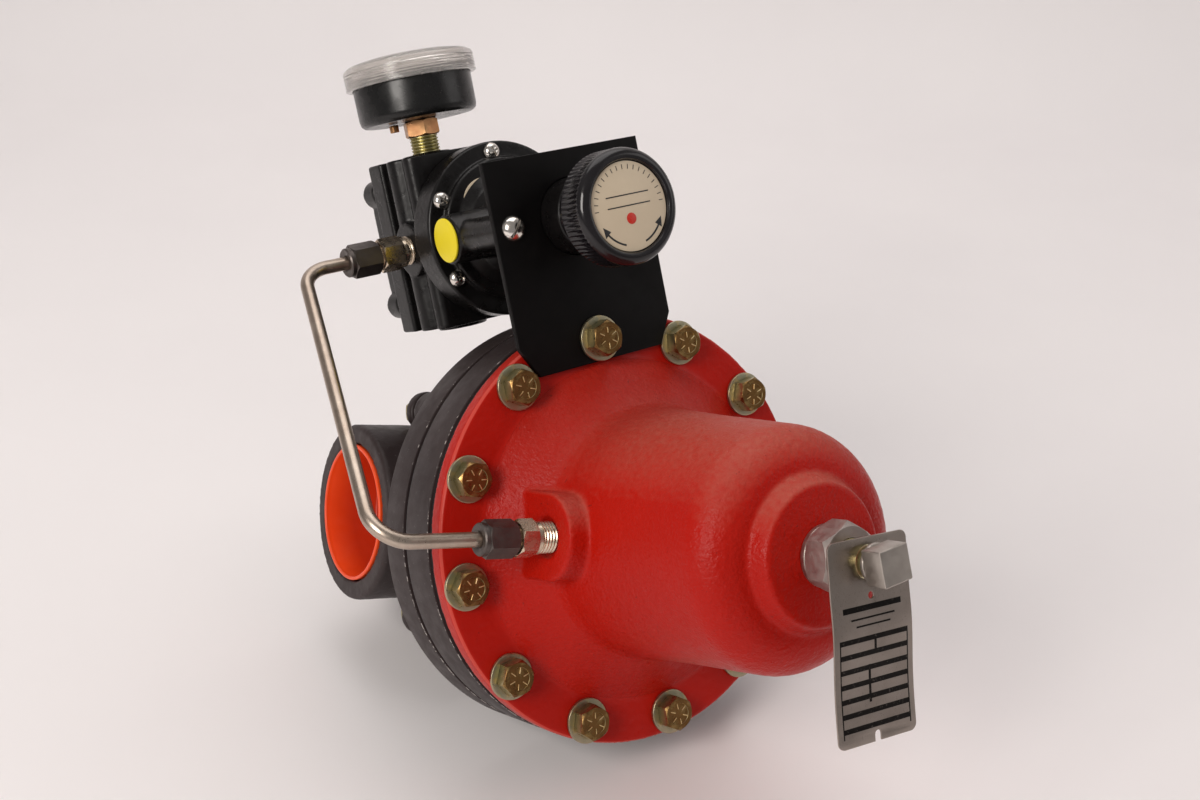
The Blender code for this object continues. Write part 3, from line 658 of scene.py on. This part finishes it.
def spring_housing():
    nose = arc(33, 105.5, 17.5, 90, 0, 12)
    profile = [(8.4, 115), (8.4, 130.9), (27.6, 130.9), (28.6, 130.0), (31.4, 123.6), (32.2, 123.0)] + nose
    profile += [(53, 60), (55.6, 24), (57.2, 19), (60.5, 15), (66, 9.6), (71.5, 4.8), (76, 1.4), (78.5, 0.0)]
    profile += [(FLANGE_R - 0.6, 0), (FLANGE_R, -0.8), (FLANGE_R, -9), (CHAMBER_R, -9), (CHAMBER_R, -4)]
    profile += [(50, 9), (47, 20), (44, 104), (34, 115)]
    body = lathe("spring_housing", profile, 180, True)
    # Tombstone boss of the signal line; on its axes X runs along the main axis.
    half = SIGNAL_BOSS_HALF
    outline = [(-SIGNAL_Z - 2, -half)] + arc(0, 0, half, -90, 90, 24) + [(-SIGNAL_Z - 2, half)]
    boss = moved(slab("boss", [outline], 50, SIGNAL_SEAT, 1.2), VALVE.inverted() @ SIGNAL)
    body = combined(body, [boss], "UNION")
    # The port's spot-faced mouth round the fitting's thread.
    seat = SIGNAL_SEAT
    mouth = [(0, seat + 2), (8.6, seat + 2), (8.6, seat - 1), (7.4, seat - 2.5), (0, seat - 2.5)]
    mouth = lathe("mouth", mouth, 48)
    body = combined(body, [moved(mouth, VALVE.inverted() @ SIGNAL)], "DIFFERENCE")
    skin = cast(body, 0.95, 5, 0.10, 2.6)
    add("housing_casting", skin, RED, VALVE, ["spring_housing"])


def flange_stack():
    for name, top, bottom in (("upper_diaphragm", -9.1, -11.9), ("lower_diaphragm", -33.1, -35.9)):
        sheet = band(name, FLANGE_R - 1.2, 60, top, bottom, 0.5, 180)
        add(name + "_sheet", sheet, RUBBER, VALVE, [name])
    spacer = band("spacer_flange", FLANGE_R, 70, -12, -33, 0.45, 240)
    add("spacer_flange", spacer, RING_PAINT, VALVE, ["spacer_ring"])
    section = [(FLANGE_R, -36), (FLANGE_R, -53), (48, -53)]
    section += [(48, -46.5), (CHAMBER_R, -46.5), (CHAMBER_R, -36)]
    ring = lathe("lower_flange", eased(section, 0.45, True), 240, True)
    add("lower_flange", ring, RING_PAINT, VALVE)


def screw_places():
    turns = (EAR_TURN, 180 - EAR_TURN, 180 + EAR_TURN, -EAR_TURN)
    return [around(EAR_CIRCLE_R, 1, PORT_ANGLE + turn)[0] for turn in turns]


def ears_outline():
    points = []
    root = NECK_R - 4
    for x, y in screw_places():
        way = Vector((x, y)).normalized()
        side = Vector((-way.y, way.x)) * EAR_R
        angle = math.degrees(math.atan2(y, x))
        points.append(tuple(way * root - side))
        points += arc(x, y, EAR_R, angle - 90, angle + 90, 16)
        points.append(tuple(way * root + side))
    return points


def lower_case_neck():
    profile = [(5.2, -47), (NECK_R + 7, -47), (NECK_R + 6.5, -53.5), (NECK_R + 2.2, -55.2), (NECK_R, -60)]
    profile += [(NECK_R, JOINT_Z), (30, JOINT_Z), (30, -72), (5.2, -72)]
    neck = lathe("neck", profile, 96, True)
    neck = combined(neck, [slab("ears", [ears_outline(), circle(40)], JOINT_Z + 0.2, -88, 1.0)], "UNION")
    neck = cast(neck, 1.2, 4, 0.10, 3.0)
    add("lower_case_neck", neck, BODY_PAINT, VALVE, ["lower_case"])
    gasket = band("gasket", NECK_R, 32, JOINT_Z, BODY_JOINT_Z, 0.2)
    add("gasket_sheet", gasket, RUBBER, VALVE, ["body_gasket"])


def valve_body():
    flange = NECK_R + 4
    profile = [(0, BODY_JOINT_Z), (flange, BODY_JOINT_Z), (flange, BODY_FLANGE_BACK)]
    profile += [(BARREL_R + 1.5, -117), (BARREL_R, -121)]
    profile += [(BARREL_R, BARREL_BACK + 2), (BARREL_R - 2, BARREL_BACK), (0, BARREL_BACK)]
    body = lathe("valve_body", profile, 96)
    to_valve = VALVE.inverted()
    face = RUN_HALF
    run = [(0, face), (RUN_R - 1.4, face), (RUN_R, face - 1.4)]
    run += [(RUN_R, -face + 1.4), (RUN_R - 1.4, -face), (0, -face)]
    run = moved(lathe("run", run, 96), to_valve @ LEFT_PORT)
    half = NECK_R + 6
    room = slab("room", [[(half, 70), (-half, 70), (-half, -70), (half, -70)]], BODY_JOINT_Z, -60, 0.01)
    run = combined(run, [placed(room, spin=PORT_ANGLE)], "DIFFERENCE")
    ears = slab("body_ears", [ears_outline()], BODY_FLANGE_BACK, BODY_JOINT_Z - 0.2, 1.0)
    body = combined(body, [run, ears], "UNION")
    bore = [(0, 90), (26, 90), (26, -90), (0, -90)]
    cuts = [moved(lathe("bore", bore, 64), to_valve @ LEFT_PORT)]
    for where in (LEFT_PORT, RIGHT_PORT):
        counterbore = [(0, face + 3), (PORT_R + 0.4, face + 3), (PORT_R + 0.2, face)]
        counterbore += [(PORT_R, face - 32), (0, face - 32)]
        cuts.append(moved(lathe("counterbore", counterbore, 72), to_valve @ where))
    body = combined(body, cuts, "DIFFERENCE")
    body = cast(body, 1.05, 3, 0.10, 3.0)
    add("body_casting", body, BODY_PAINT, VALVE, ["valve_body"])


def bolt_parts():
    """Shared meshes of the flange bolts: a head with its radial grade lines, and a washer."""
    base, top = 2.1, 8.4
    head = hexagon(BOLT_FLATS, base, top, 1.5)
    dish = lathe("dish", [(0, top + 1), (5.6, top + 1), (5.0, top - 0.35), (0, top - 0.45)], 40)
    head = combined(head, [dish], "DIFFERENCE")
    sides = len(head.polygons)
    lines = []
    for i in range(6):
        bar = slab("line", [bar_outline(2.3, 4.9, 0.2)], top - 0.7, top + 0.02, 0.08)
        lines.append(placed(bar, spin=60 * i + 8))
    head = merged("bolt_head", head, *lines)
    smooth(head, 25)
    for finish in (ZINC, SHADED_ZINC, HIGHLIGHT_ZINC):
        head.materials.append(finish)
    for face in head.polygons:
        # the top faces take the darker copy of the zinc: painted shade
        on_top = face.center.z > (top - 0.6) * MM and face.normal.z > 0.7
        # the raised grade lines take the brighter copy of the zinc: painted highlight
        face.material_index = 2 if face.index >= sides else int(on_top)
    return head, band("bolt_washer", 10.3, 5.2, 2.0, 0.2, 0.5, 64)


def flange_bolts():
    head, washer = bolt_parts()
    for number, (x, y) in enumerate(around(BOLT_CIRCLE_R, BOLT_COUNT), 1):
        lift = 3.3 if number == 1 else 0.0
        twist = Matrix.Rotation(math.radians(11.0 * number % 60 + 7), 4, "Z")
        where = axes((x, y, lift)) @ twist
        name = f"flange_bolt_{number:02d}"
        add(name + "_head", head, ZINC, where, [name])
        add(name + "_washer", washer, WASHER_ZINC, where)


def body_screws():
    seat = BODY_FLANGE_BACK - 0.2
    head = hexagon(SCREW_FLATS, seat - SCREW_HIGH, seat, 1.2)
    head = placed(head, (0, 0, 2 * seat - SCREW_HIGH), 180, "X")
    for number, (x, y) in enumerate(screw_places(), 1):
        where = axes((x, y, 0)) @ Matrix.Rotation(math.radians(20.0 * number), 4, "Z")
        add(f"body_screw_{number}_head", head, ZINC, where, [f"body_screw_{number}"])


def bottom_plug():
    """Hexagonal plug with chamfered corners and a turned shoulder; one flat touches the floor."""
    head = hexagon(PLUG_FLATS, PLUG_BACK, BARREL_BACK - 0.3, 2.5, 0, True)
    plug = merged("bottom_plug", head, puck("shoulder", 23.5, -152, -169, 0.6))
    add("bottom_plug_hex", plug, BODY_PAINT, VALVE, ["bottom_plug"])


def port_plugs():
    face, floor, wall = RUN_HALF, RUN_HALF - 28, 1.8
    mouth, end = PORT_R - 0.3, PORT_R - 4
    profile = [(0, floor + wall), (end - wall, floor + wall), (mouth - wall, face - 1)]
    profile += [(mouth - wall, face + 0.8), (mouth, face + 0.8), (mouth, face - 1), (end, floor), (0, floor)]
    for side, where in (("left", LEFT_PORT), ("right", RIGHT_PORT)):
        mesh = lathe("plug", eased(profile, 0.8), 128)
        solid = f"port_plug_{side}"
        add(f"{side}_plug_cup", mesh, ORANGE, where, [solid], body=f"plug_{side}")


def adjuster():
    stem = [(0, 160.5), (6, 160.5), (6, 151)]
    stem += threads(SCREW_THREAD_R, 106.5, 149.6, SCREW_PITCH, 0.7) + [(0, 106.5)]
    shank = lathe("shank", stem, 64)
    add("screw_shank", shank, THREAD_BRASS, VALVE, ["adjusting_screw"], body="screw")
    head = slab("square", [round_box(-7, 7, -7, 7, 0.6, 3)], 160, 170, 0.5)
    collar = puck("collar", 7.6, 160.4, 158.6, 0.5, 48)
    add("screw_head", merged("screw_head", head, collar), HEAD_STEEL, VALVE, body="screw")
    washer = band("seal", 12.5, 8.3, 133.7, 131.0, 0.6, 64)
    add("seal_washer_ring", washer, HEAD_STEEL, VALVE, ["seal_washer"])
    nut = placed(hexagon(LOCK_NUT_FLATS, 133.9, 146, 2.2, 8.2, True), spin=18)
    add("lock_nut_hex", nut, NUT_STEEL, VALVE, ["lock_nut"], body="lock_nut")


def name_tag():
    """The tag's sheet, slightly bowed, with a hanging hole, a small hole and a notch in its lower edge."""
    edge = arc(16.75, 6.5, 3, 0, 90, 6) + arc(-16.75, 6.5, 3, 90, 180, 6) + arc(-16.75, -65, 3, 180, 270, 6)
    notch = [(-1.6, -68), (-1.6, -65.4)] + arc(0, -65.4, 1.6, 180, 0, 6) + [(1.6, -68)]
    edge += notch + arc(16.75, -65, 3, 270, 360, 6)
    holes = [circle(6.6, 40), circle(1.4, 20, 0, -12.5)]
    mesh = slab("tag", [edge, *holes], -0.4, 0.4, 0.12)
    shape = bmesh.new()
    shape.from_mesh(mesh)
    for i in range(1, 16):
        height = (9 - i * 5) * MM
        geometry = shape.verts[:] + shape.edges[:] + shape.faces[:]
        bmesh.ops.bisect_plane(shape, geom=geometry, plane_co=(0, height, 0), plane_no=(0, 1, 0), dist=1e-7)
    shape.to_mesh(mesh)
    shape.free()
    front = mesh.attributes.new("front", "FLOAT", "POINT")
    front.data.foreach_set("value", [1.0 if v.co.z > 0.00030 else 0.0 for v in mesh.vertices])
    for vertex in mesh.vertices:
        along = min(0.0, vertex.co.y / MM + 8) / 60
        vertex.co.z += (-1.6 * along * along - 0.5 * math.sin(along * 7)) * MM * min(1.0, abs(along) * 4)
    where = axes((0, 0, TAG_Z)) @ Matrix.Rotation(math.radians(TAG_TURN), 4, "Z")
    add("tag_sheet", mesh, tag_metal(), where, ["name_tag"], body="tag")


def bracket():
    edge = [(-41, 174.3), (-41, 92.6), (-33.2, 78.7), (33.2, 78.7), (41, 92.6), (41, 174.3)]
    mesh = slab("bracket", [edge, circle(17.3, 64, 0, KNOB_Y)], 0.2, 3.3, 0.35)
    add("bracket_plate", mesh, BRACKET_COAT, VALVE, ["mounting_bracket"])
    dome = [(0, 7.1), (1.5, 7.0), (3.0, 6.55), (4.3, 5.7), (5.2, 4.6), (5.6, 3.5), (5.4, 3.3), (0, 3.3)]
    slot = [bar_outline(-0.65, 0.65, 7)]
    for side, x, turn in (("left", -32, -38), ("right", 32, 20)):
        head = smooth(combined(lathe("dome", dome, 64), [slab("slot", slot, 5.3, 9, 0.01)], "DIFFERENCE"), 30)
        where = axes((x, KNOB_Y, 0)) @ Matrix.Rotation(math.radians(turn), 4, "Z")
        add(f"bracket_screw_{side}_head", head, CHROME, where, [f"bracket_screw_{side}"])


def phillips():
    """Pan head with a cross recess; its seat is at height zero."""
    dome = [(0, 2.9), (1.6, 2.8), (2.9, 2.3), (3.8, 1.4), (4.2, 0.3), (4.0, 0), (0, 0)]
    arm = [bar_outline(-0.45, 0.45, 2.3)]
    cross = [slab("arm", arm, 1.3, 4, 0.01), placed(slab("arm", arm, 1.3, 4, 0.01), spin=90)]
    head = combined(lathe("pan", dome, 48), cross, "DIFFERENCE")
    return smooth(head, 30)


def regulator():
    to_pilot = PILOT.inverted()
    profile = [(0, 17.8), (16.2, 17.8), (17, 17), (17, 0), (20, 0), (20.4, -44)]
    profile += [(23, -50), (28, -53.4), (32.6, -54), (33.5, -54.8), (33.8, -57)]
    profile += [(40.7, -57), (41.5, -57.8), (41.5, -72.6), (0, -72.6)]
    bonnet = lathe("bonnet", profile, 120)
    boss = lathe("boss", [(0, 39), (11.0, 39), (11.5, 38.5), (11.5, 0), (0, 0)], 64)
    joined = [moved(boss, to_pilot @ BONNET_SIDE)]
    for x in (-31, 31):
        joined.append(placed(lathe("post", [(0, -0.3), (7.5, -0.3), (7.5, -56), (0, -56)], 48), (x, 0, 0)))
    bonnet = combined(bonnet, joined, "UNION")
    bonnet = cast(bonnet, 0.6, 3, 0.03, 2.0)
    add("bonnet_casting", bonnet, CASTING_BLACK, PILOT, ["regulator_bonnet"])
    head = phillips()
    for number, (x, y) in enumerate(around(36.5, 6), 1):
        where = axes((x, KNOB_Y + y, -57)) @ Matrix.Rotation(math.radians(23.0 * number), 4, "Z")
        add(f"bonnet_screw_{number}", head, CHROME, where)
    add("bonnet_gasket", band("gasket", 40.8, 20, -72.6, -73.4, 0.1), RUBBER, PILOT)
    add("side_dot", puck("dot", 10.2, 40.3, 39.1, 0.4), YELLOW, BONNET_SIDE, ["side_plug"])
    label = [(0, 0)] + arc(0, 0, 12.4, 88, 182, 16)
    plate = slab("label", [[(x - 10.2, y + 13) for x, y in label]], -53.8, -53.2, 0.1)
    add("bonnet_label", plate, CREAM, PILOT)


def regulator_block():
    """The block's section lies on X and -Z, with a flat column at the back and rounded ones before it."""
    section = [(-30, 73.4)] + arc(-31.2, 78.4, 4.8, 290, 125, 12) + [(-33.2, 84)]
    section += arc(-31.2, 91.0, 6.8, 235, 125, 12)
    section += [(-33.6, 98.6), (-33.6, 99.8), (-37, 100.2), (-38, 101.2), (-38, 113)]
    section += eased([(14, 113), (18, 106), (18, 80), (16, 73.4)], 2)
    block = slab("block", [section], 103, 186, 0.8)
    to_block = BLOCK.inverted()
    left_boss = lathe("left_boss", [(0, 38.1), (12.4, 38.1), (13, 37.4), (13, 20), (0, 20)], 64)
    right_boss = lathe("right_boss", [(0, -10), (13, -10), (13, -37.4), (12.4, -38), (0, -38)], 64)
    gauge_boss = lathe("gauge_boss", [(0, 187), (11.2, 187), (12, 186.2), (12, 101), (0, 101)], 64)
    bosses = [moved(left_boss, to_block @ SUPPLY), moved(right_boss, to_block @ SUPPLY)]
    bosses.append(moved(gauge_boss, to_block @ GAUGE))
    block = combined(block, bosses, "UNION")
    block = cast(block, 0.6, 3, 0.03, 2.0)
    add("regulator_block", block, CASTING_BLACK, BLOCK, ["regulator_body"])
    lugs = [(x, y) for x in (-31, 31) for y in (-28, 28)]
    rear = slab("rear", [round_box(-34, 34, -31, 31, 12)], -127, -113.1, 1.2)
    towers = [slab("lug", [circle(7, 48, x, y)], -126, -114, 0.8) for x, y in lugs]
    rear = cast(combined(rear, towers, "UNION"), 0.7, 3)
    add("rear_cap_plate", rear, CASTING_BLACK, PILOT, ["regulator_rear_cap"])
    head = phillips()
    for number, (x, y) in enumerate(lugs, 1):
        where = axes((x, KNOB_Y + y, -126)) @ Matrix.Rotation(math.pi, 4, "X")
        add(f"rear_screw_{number}", head, CHROME, where)
    plug = hexagon(11, 38.1, 42, 0.8)
    right = axes((0, KNOB_Y - 1.5, SUPPLY_Z), (0, 0, 1), (1, 0, 0))
    add("supply_port_plug", plug, PHOSPHATE, right)


def knob():
    flutes = 72

    def knurl(radius, height, turn):
        if 24.2 < radius and 33.2 < height < 43.5:
            return radius - 0.55 * (0.5 + 0.5 * math.cos(turn * flutes)) ** 0.6
        return radius

    profile = [(0, 45.9), (19.3, 45.9), (19.5, 47.2), (20.0, 47.9), (21.0, 48.1), (22.4, 47.9)]
    profile += [(23.8, 46.9), (24.6, 45.6), (24.9, 44.4), (24.9, 43.4), (24.9, 38), (24.9, 33.5)]
    profile += [(24.9, 32.6), (24.2, 31.6), (18.6, 31.2), (18.0, 30.4), (18.0, 28.6), (16.2, 27.6)]
    profile += [(15.4, 26), (15.6, 24.2), (16.8, 23.2), (17.2, 22.2), (17.2, 18.4), (0, 18.4)]
    mesh = lathe("knob", profile, flutes * 6, False, knurl, 40)
    add("knob_body", mesh, KNOB_BLACK, PILOT, ["regulator_knob"], body="knob")
    disc = puck("disc", 19.0, 46.6, 46.0, 0.15, 96)
    add("knob_label_disc", disc, CREAM, PILOT, ["knob_label"], body="knob")
    ink_low, ink_high = 46.58, 46.68
    for side, first, last in (("left", 218, 252), ("right", 322, 288)):
        outer = arc(0, 0, 16.9, first, last, 12)
        inner = arc(0, 0, 16.1, last, first, 12)
        shaft = slab("shaft", [outer + inner], ink_low, ink_high, 0.01)
        tip = math.radians(first)
        step = math.radians(-14 if first < last else 14)
        point = (16.5 * math.cos(tip + step), 16.5 * math.sin(tip + step))
        barbs = [(r * math.cos(tip), r * math.sin(tip)) for r in (14.6, 18.4)]
        arrow = merged("arrow", shaft, slab("tip", [[point, *barbs]], ink_low, ink_high, 0.01))
        add(f"knob_arrow_{side}", arrow, LABEL_INK, PILOT, body="knob")
    ticks = []
    for i in range(19):
        tick = slab("tick", [bar_outline(15.6, 17.6, 0.16)], ink_low, ink_high, 0.01)
        ticks.append(placed(tick, spin=10 * i))
    add("knob_ticks", merged("ticks", *ticks), LABEL_INK, PILOT, body="knob")
    bars = [slab("bar", [[(-11, 5.2), (11, 5.2), (11, 4.7), (-11, 4.7)]], ink_low, ink_high, 0.01)]
    bars.append(slab("bar", [[(-11, 0.6), (11, 0.6), (11, 0.1), (-11, 0.1)]], ink_low, ink_high, 0.01))
    add("knob_lines", merged("bars", *bars), LABEL_INK, PILOT, body="knob")
    spot = slab("spot", [circle(2.4, 40, 0, -5.2)], ink_low, ink_high, 0.01)
    add("knob_spot", spot, LABEL_RED, PILOT, body="knob")


def gauge():
    thread = [(0, 196)] + threads(PIPE_THREAD_R, 184, 195.8, 1.5, 0.7) + [(0, 184)]
    add("gauge_thread", lathe("thread", thread, 48), THREAD_BRASS, GAUGE)
    base = placed(hexagon(15.4, 195.6, 203.2, 1.0, 0, True), spin=12)
    add("gauge_hex", base, BRASS, GAUGE, ["gauge_socket"])
    add("gauge_peg", placed(puck("peg", 2.2, 203, 199.5, 0.3, 24), (-12, 5, 0)), BRASS, GAUGE)
    profile = [(28.9, 225.5), (28.7, 207), (28.2, 204.8), (26.6, 203.5), (4, 203.3), (4, 205)]
    profile += [(26, 205), (27.2, 207), (27.2, 225.5)]
    case = lathe("case", eased(profile, 0.6, True), 128, True)
    add("gauge_shell", case, CASE_BLACK, GAUGE, ["gauge_case"])
    dial = puck("dial", 26.4, GAUGE_DIAL_Y, GAUGE_DIAL_Y - 1, 0.2, 96)
    add("gauge_face", dial, DIAL_WHITE, GAUGE, ["gauge_dial"])
    marks = []
    for i in range(31):
        inner, wide = (19.5, 0.32) if i % 5 == 0 else (21.5, 0.16)
        mark = slab("mark", [bar_outline(inner, 24, wide)], GAUGE_DIAL_Y - 0.02, GAUGE_DIAL_Y + 0.1, 0.01)
        marks.append(placed(mark, spin=-45 - 9.0 * i + 270))
    add("gauge_marks", merged("marks", *marks), LABEL_INK, GAUGE)
    for i in range(7):
        turn = math.radians(225 - 45 * i)
        text = bpy.data.curves.new("number", "FONT")
        text.body = str(i * 5)
        text.size = 4.6 * MM
        text.align_x = text.align_y = "CENTER"
        text.extrude = 0.03 * MM
        text.materials.append(LABEL_INK)
        spot = (15.6 * math.cos(turn), 15.6 * math.sin(turn), GAUGE_DIAL_Y + 0.1)
        number = placed(evaluated(bpy.data.objects.new("number", text)), spot)
        add(f"gauge_number_{i}", number, LABEL_INK, GAUGE)
    needle = slab("needle", [[(-1.5, -7), (1.5, -7), (0.45, 20), (-0.45, 20)]], 222.7, 223.2, 0.1)
    hand = placed(merged("hand", needle, puck("hub", 2.6, 224.6, 222.4, 0.4, 40)), spin=135)
    add("gauge_hand", hand, BRACKET_COAT, GAUGE, ["gauge_pointer"], body="pointer")
    rim = [(0, 234.6), (14, 234.5), (24, 234.0), (29, 233.0), (31.2, 231.6), (31.9, 230)]
    for i in range(5):
        top = 229.4 - 1.3 * i
        rim += [(31.9, top), (31.45, top - 0.4), (31.45, top - 0.75), (31.9, top - 1.1)]
    rim += [(32.0, 222.3), (31.2, 221.9), (29.3, 221.9), (29.3, 228), (27.6, 231.4), (22, 232.4), (0, 232.9)]
    add("gauge_window", lathe("window", rim, 160), CLEAR, GAUGE, ["gauge_lens"])


def fitting(side, where, seat, hex_low, hex_high, nut_high):
    """Nickel connector and dark tube nut, with heights counted from the seat. Gives the tube's end."""
    hex_low, hex_high, nut_high = seat + hex_low, seat + hex_high, seat + nut_high
    neck = [(0, hex_high + 1.9), (5.3, hex_high + 1.9), (5.3, hex_low), (7.2, hex_low)]
    neck += [(7.4, hex_low - 1.4), (6.4, hex_low - 1.8)]
    neck += threads(PIPE_THREAD_R, seat - 2.5, hex_low - 2.0, 1.4, 0.6) + [(0, seat - 2.5)]
    grip = placed(hexagon(BOLT_FLATS, hex_low, hex_high, 0.9, 0, True), spin=25)
    connector = merged("connector", lathe("neck", neck, 64), grip)
    add(f"{side}_connector", connector, NICKEL, where, [f"{side}_fitting"])
    low = hex_high + 1.2
    bore = TUBE_R + 0.15
    nut = hexagon(BOLT_FLATS, low, nut_high - 2.5, 1.0, bore, True)
    collar = [(6.4, nut_high), (6.9, nut_high - 0.6), (7.0, nut_high - 2.6)]
    collar += [(bore, nut_high - 2.6), (bore, nut_high - 0.6), (4.2, nut_high)]
    nut = merged("nut", nut, lathe("collar", collar, 64, True))
    add(f"{side}_nut", placed(nut, spin=38), PHOSPHATE, where, [f"{side}_tube_nut"])
    return low + 1


def loading_line():
    supply_in = fitting("regulator", SUPPLY, 38, 5.0, 16.0, 33.5)
    signal_in = fitting("signal", SIGNAL, SIGNAL_SEAT, 7.0, 15.0, 32.5)
    add_tube(supply_in, signal_in)


def add_tube(supply_in, signal_in):
    corners = [
        Vector((-supply_in, KNOB_Y - 1.5, SUPPLY_Z)),
        Vector((-93.0, KNOB_Y - 1.5, SUPPLY_Z)),
        PORT_WAY * 142.0 + Vector((0, 0, SIGNAL_Z)),
        PORT_WAY * signal_in + Vector((0, 0, SIGNAL_Z)),
    ]
    route = rounded_route(corners, 15.0, 20)
    curve = bpy.data.curves.new("tube", "CURVE")
    curve.dimensions = "3D"
    curve.bevel_depth = TUBE_R * MM
    curve.bevel_resolution = 10
    curve.use_fill_caps = True
    spline = curve.splines.new("POLY")
    spline.points.add(len(route) - 1)
    for point, spot in zip(spline.points, route):
        point.co = (*(spot * MM), 1.0)
    mesh = evaluated(bpy.data.objects.new("tube", curve))
    mesh.materials.clear()
    mesh.shade_smooth()
    add("tube_line", mesh, STAINLESS, VALVE, ["loading_tube"])


def hidden_nodes():
    """Pieces inside the valve keep their CAD shapes and get a machined finish."""
    inner = ("upper_pressure_plate", "middle_pressure_plate", "lower_pressure_plate", "valve_stem")
    inner += ("seat_plate", "sliding_disc", "range_spring", "spring_button")
    for name in inner:
        node = frame["nodes"][name]
        node.data.materials.clear()
        node.data.materials.append(MACHINED)


# ---------------------------------------------------------------- studio

def camera():
    data = bpy.data.cameras.new("camera")
    data.lens = CAMERA_LENS
    data.sensor_width = 36.0
    eye = VALVE @ (Vector(CAMERA_PLACE) * MM)
    turn = VALVE.to_3x3()
    right = turn @ Vector(CAMERA_RIGHT)
    ahead = turn @ Vector(CAMERA_AHEAD)
    up = right.cross(ahead).normalized()
    right = ahead.cross(up).normalized()
    made = bpy.data.objects.new("camera", data)
    bpy.context.scene.collection.objects.link(made)
    basis = Matrix((right, up, -ahead.normalized())).transposed().to_4x4()
    made.matrix_world = Matrix.Translation(eye) @ basis
    bpy.context.scene.camera = made
    return eye, ahead


def sweep(eye, ahead):
    """A pale paper floor that turns up into a wall behind the object."""
    away = Vector((ahead.x, ahead.y, 0)).normalized()
    across = Vector((-away.y, away.x, 0))
    foot = Vector((eye.x, eye.y, 0))
    bend, radius = 1.80, 0.25
    profile = [(-3.0, 0.0), (bend - radius, 0.0)]
    profile += [(bend - radius + radius * math.sin(t), radius - radius * math.cos(t)) for t in
                [math.radians(6 * i) for i in range(1, 15)]]
    profile += [(bend + 0.25, 4.0)]
    shape = bmesh.new()
    rows = [[shape.verts.new(foot + away * d + across * side + Vector((0, 0, h))) for side in (-4.0, 4.0)]
            for d, h in profile]
    for low, high in zip(rows, rows[1:]):
        shape.faces.new((low[0], low[1], high[1], high[0]))
    mesh = bpy.data.meshes.new("sweep")
    shape.to_mesh(mesh)
    shape.free()
    mesh.shade_smooth()
    paper = Finish("paper", (0.90, 0.87, 0.87), 0.85, stored=False, Specular_IOR_Level=0.2)
    paper.blend(paper.spread(paper.noise(260, 3), 0.3, 0.7, 0.0, 0.5), (0.85, 0.82, 0.825))
    paper.bump(paper.noise(60, 3), 0.3, 0.4)
    mesh.materials.append(paper.done())
    made = bpy.data.objects.new("sweep", mesh)
    bpy.context.scene.collection.objects.link(made)


def light(name, place, aim, size, power, colour=(1, 1, 1)):
    data = bpy.data.lights.new(name, "AREA")
    data.shape = "RECTANGLE"
    data.size, data.size_y = size
    data.energy = power
    data.color = colour
    made = bpy.data.objects.new(name, data)
    bpy.context.scene.collection.objects.link(made)
    made.location = place
    made.rotation_euler = (Vector(aim) - Vector(place)).to_track_quat("-Z", "Y").to_euler()


def studio():
    eye, ahead = camera()
    sweep(eye, ahead)
    middle = (0.0, 0.0, 0.12)
    light("key", (-1.25, -0.45, 0.95), middle, (0.55, 0.75), 14.2, (1.0, 0.95, 0.90))
    light("fill", (1.5, -0.9, 1.0), middle, (1.0, 1.0), 3.4, (1.0, 0.96, 0.94))
    light("top", (0.35, 0.65, 2.0), (0.30, 0.60, 0.1), (1.9, 1.6), 18, (1.0, 0.97, 0.95))
    world = bpy.data.worlds.new("studio")
    world.use_nodes = True
    back = world.node_tree.nodes["Background"]
    back.inputs["Color"].default_value = (1.0, 0.955, 0.94, 1.0)
    back.inputs["Strength"].default_value = 0.27
    bpy.context.scene.world = world
    bpy.context.scene.view_settings.view_transform = "Standard"


def main():
    spring_housing()
    flange_stack()
    lower_case_neck()
    valve_body()
    flange_bolts()
    body_screws()
    bottom_plug()
    port_plugs()
    adjuster()
    name_tag()
    bracket()
    regulator()
    regulator_block()
    knob()
    gauge()
    loading_line()
    hidden_nodes()
    studio()


main()
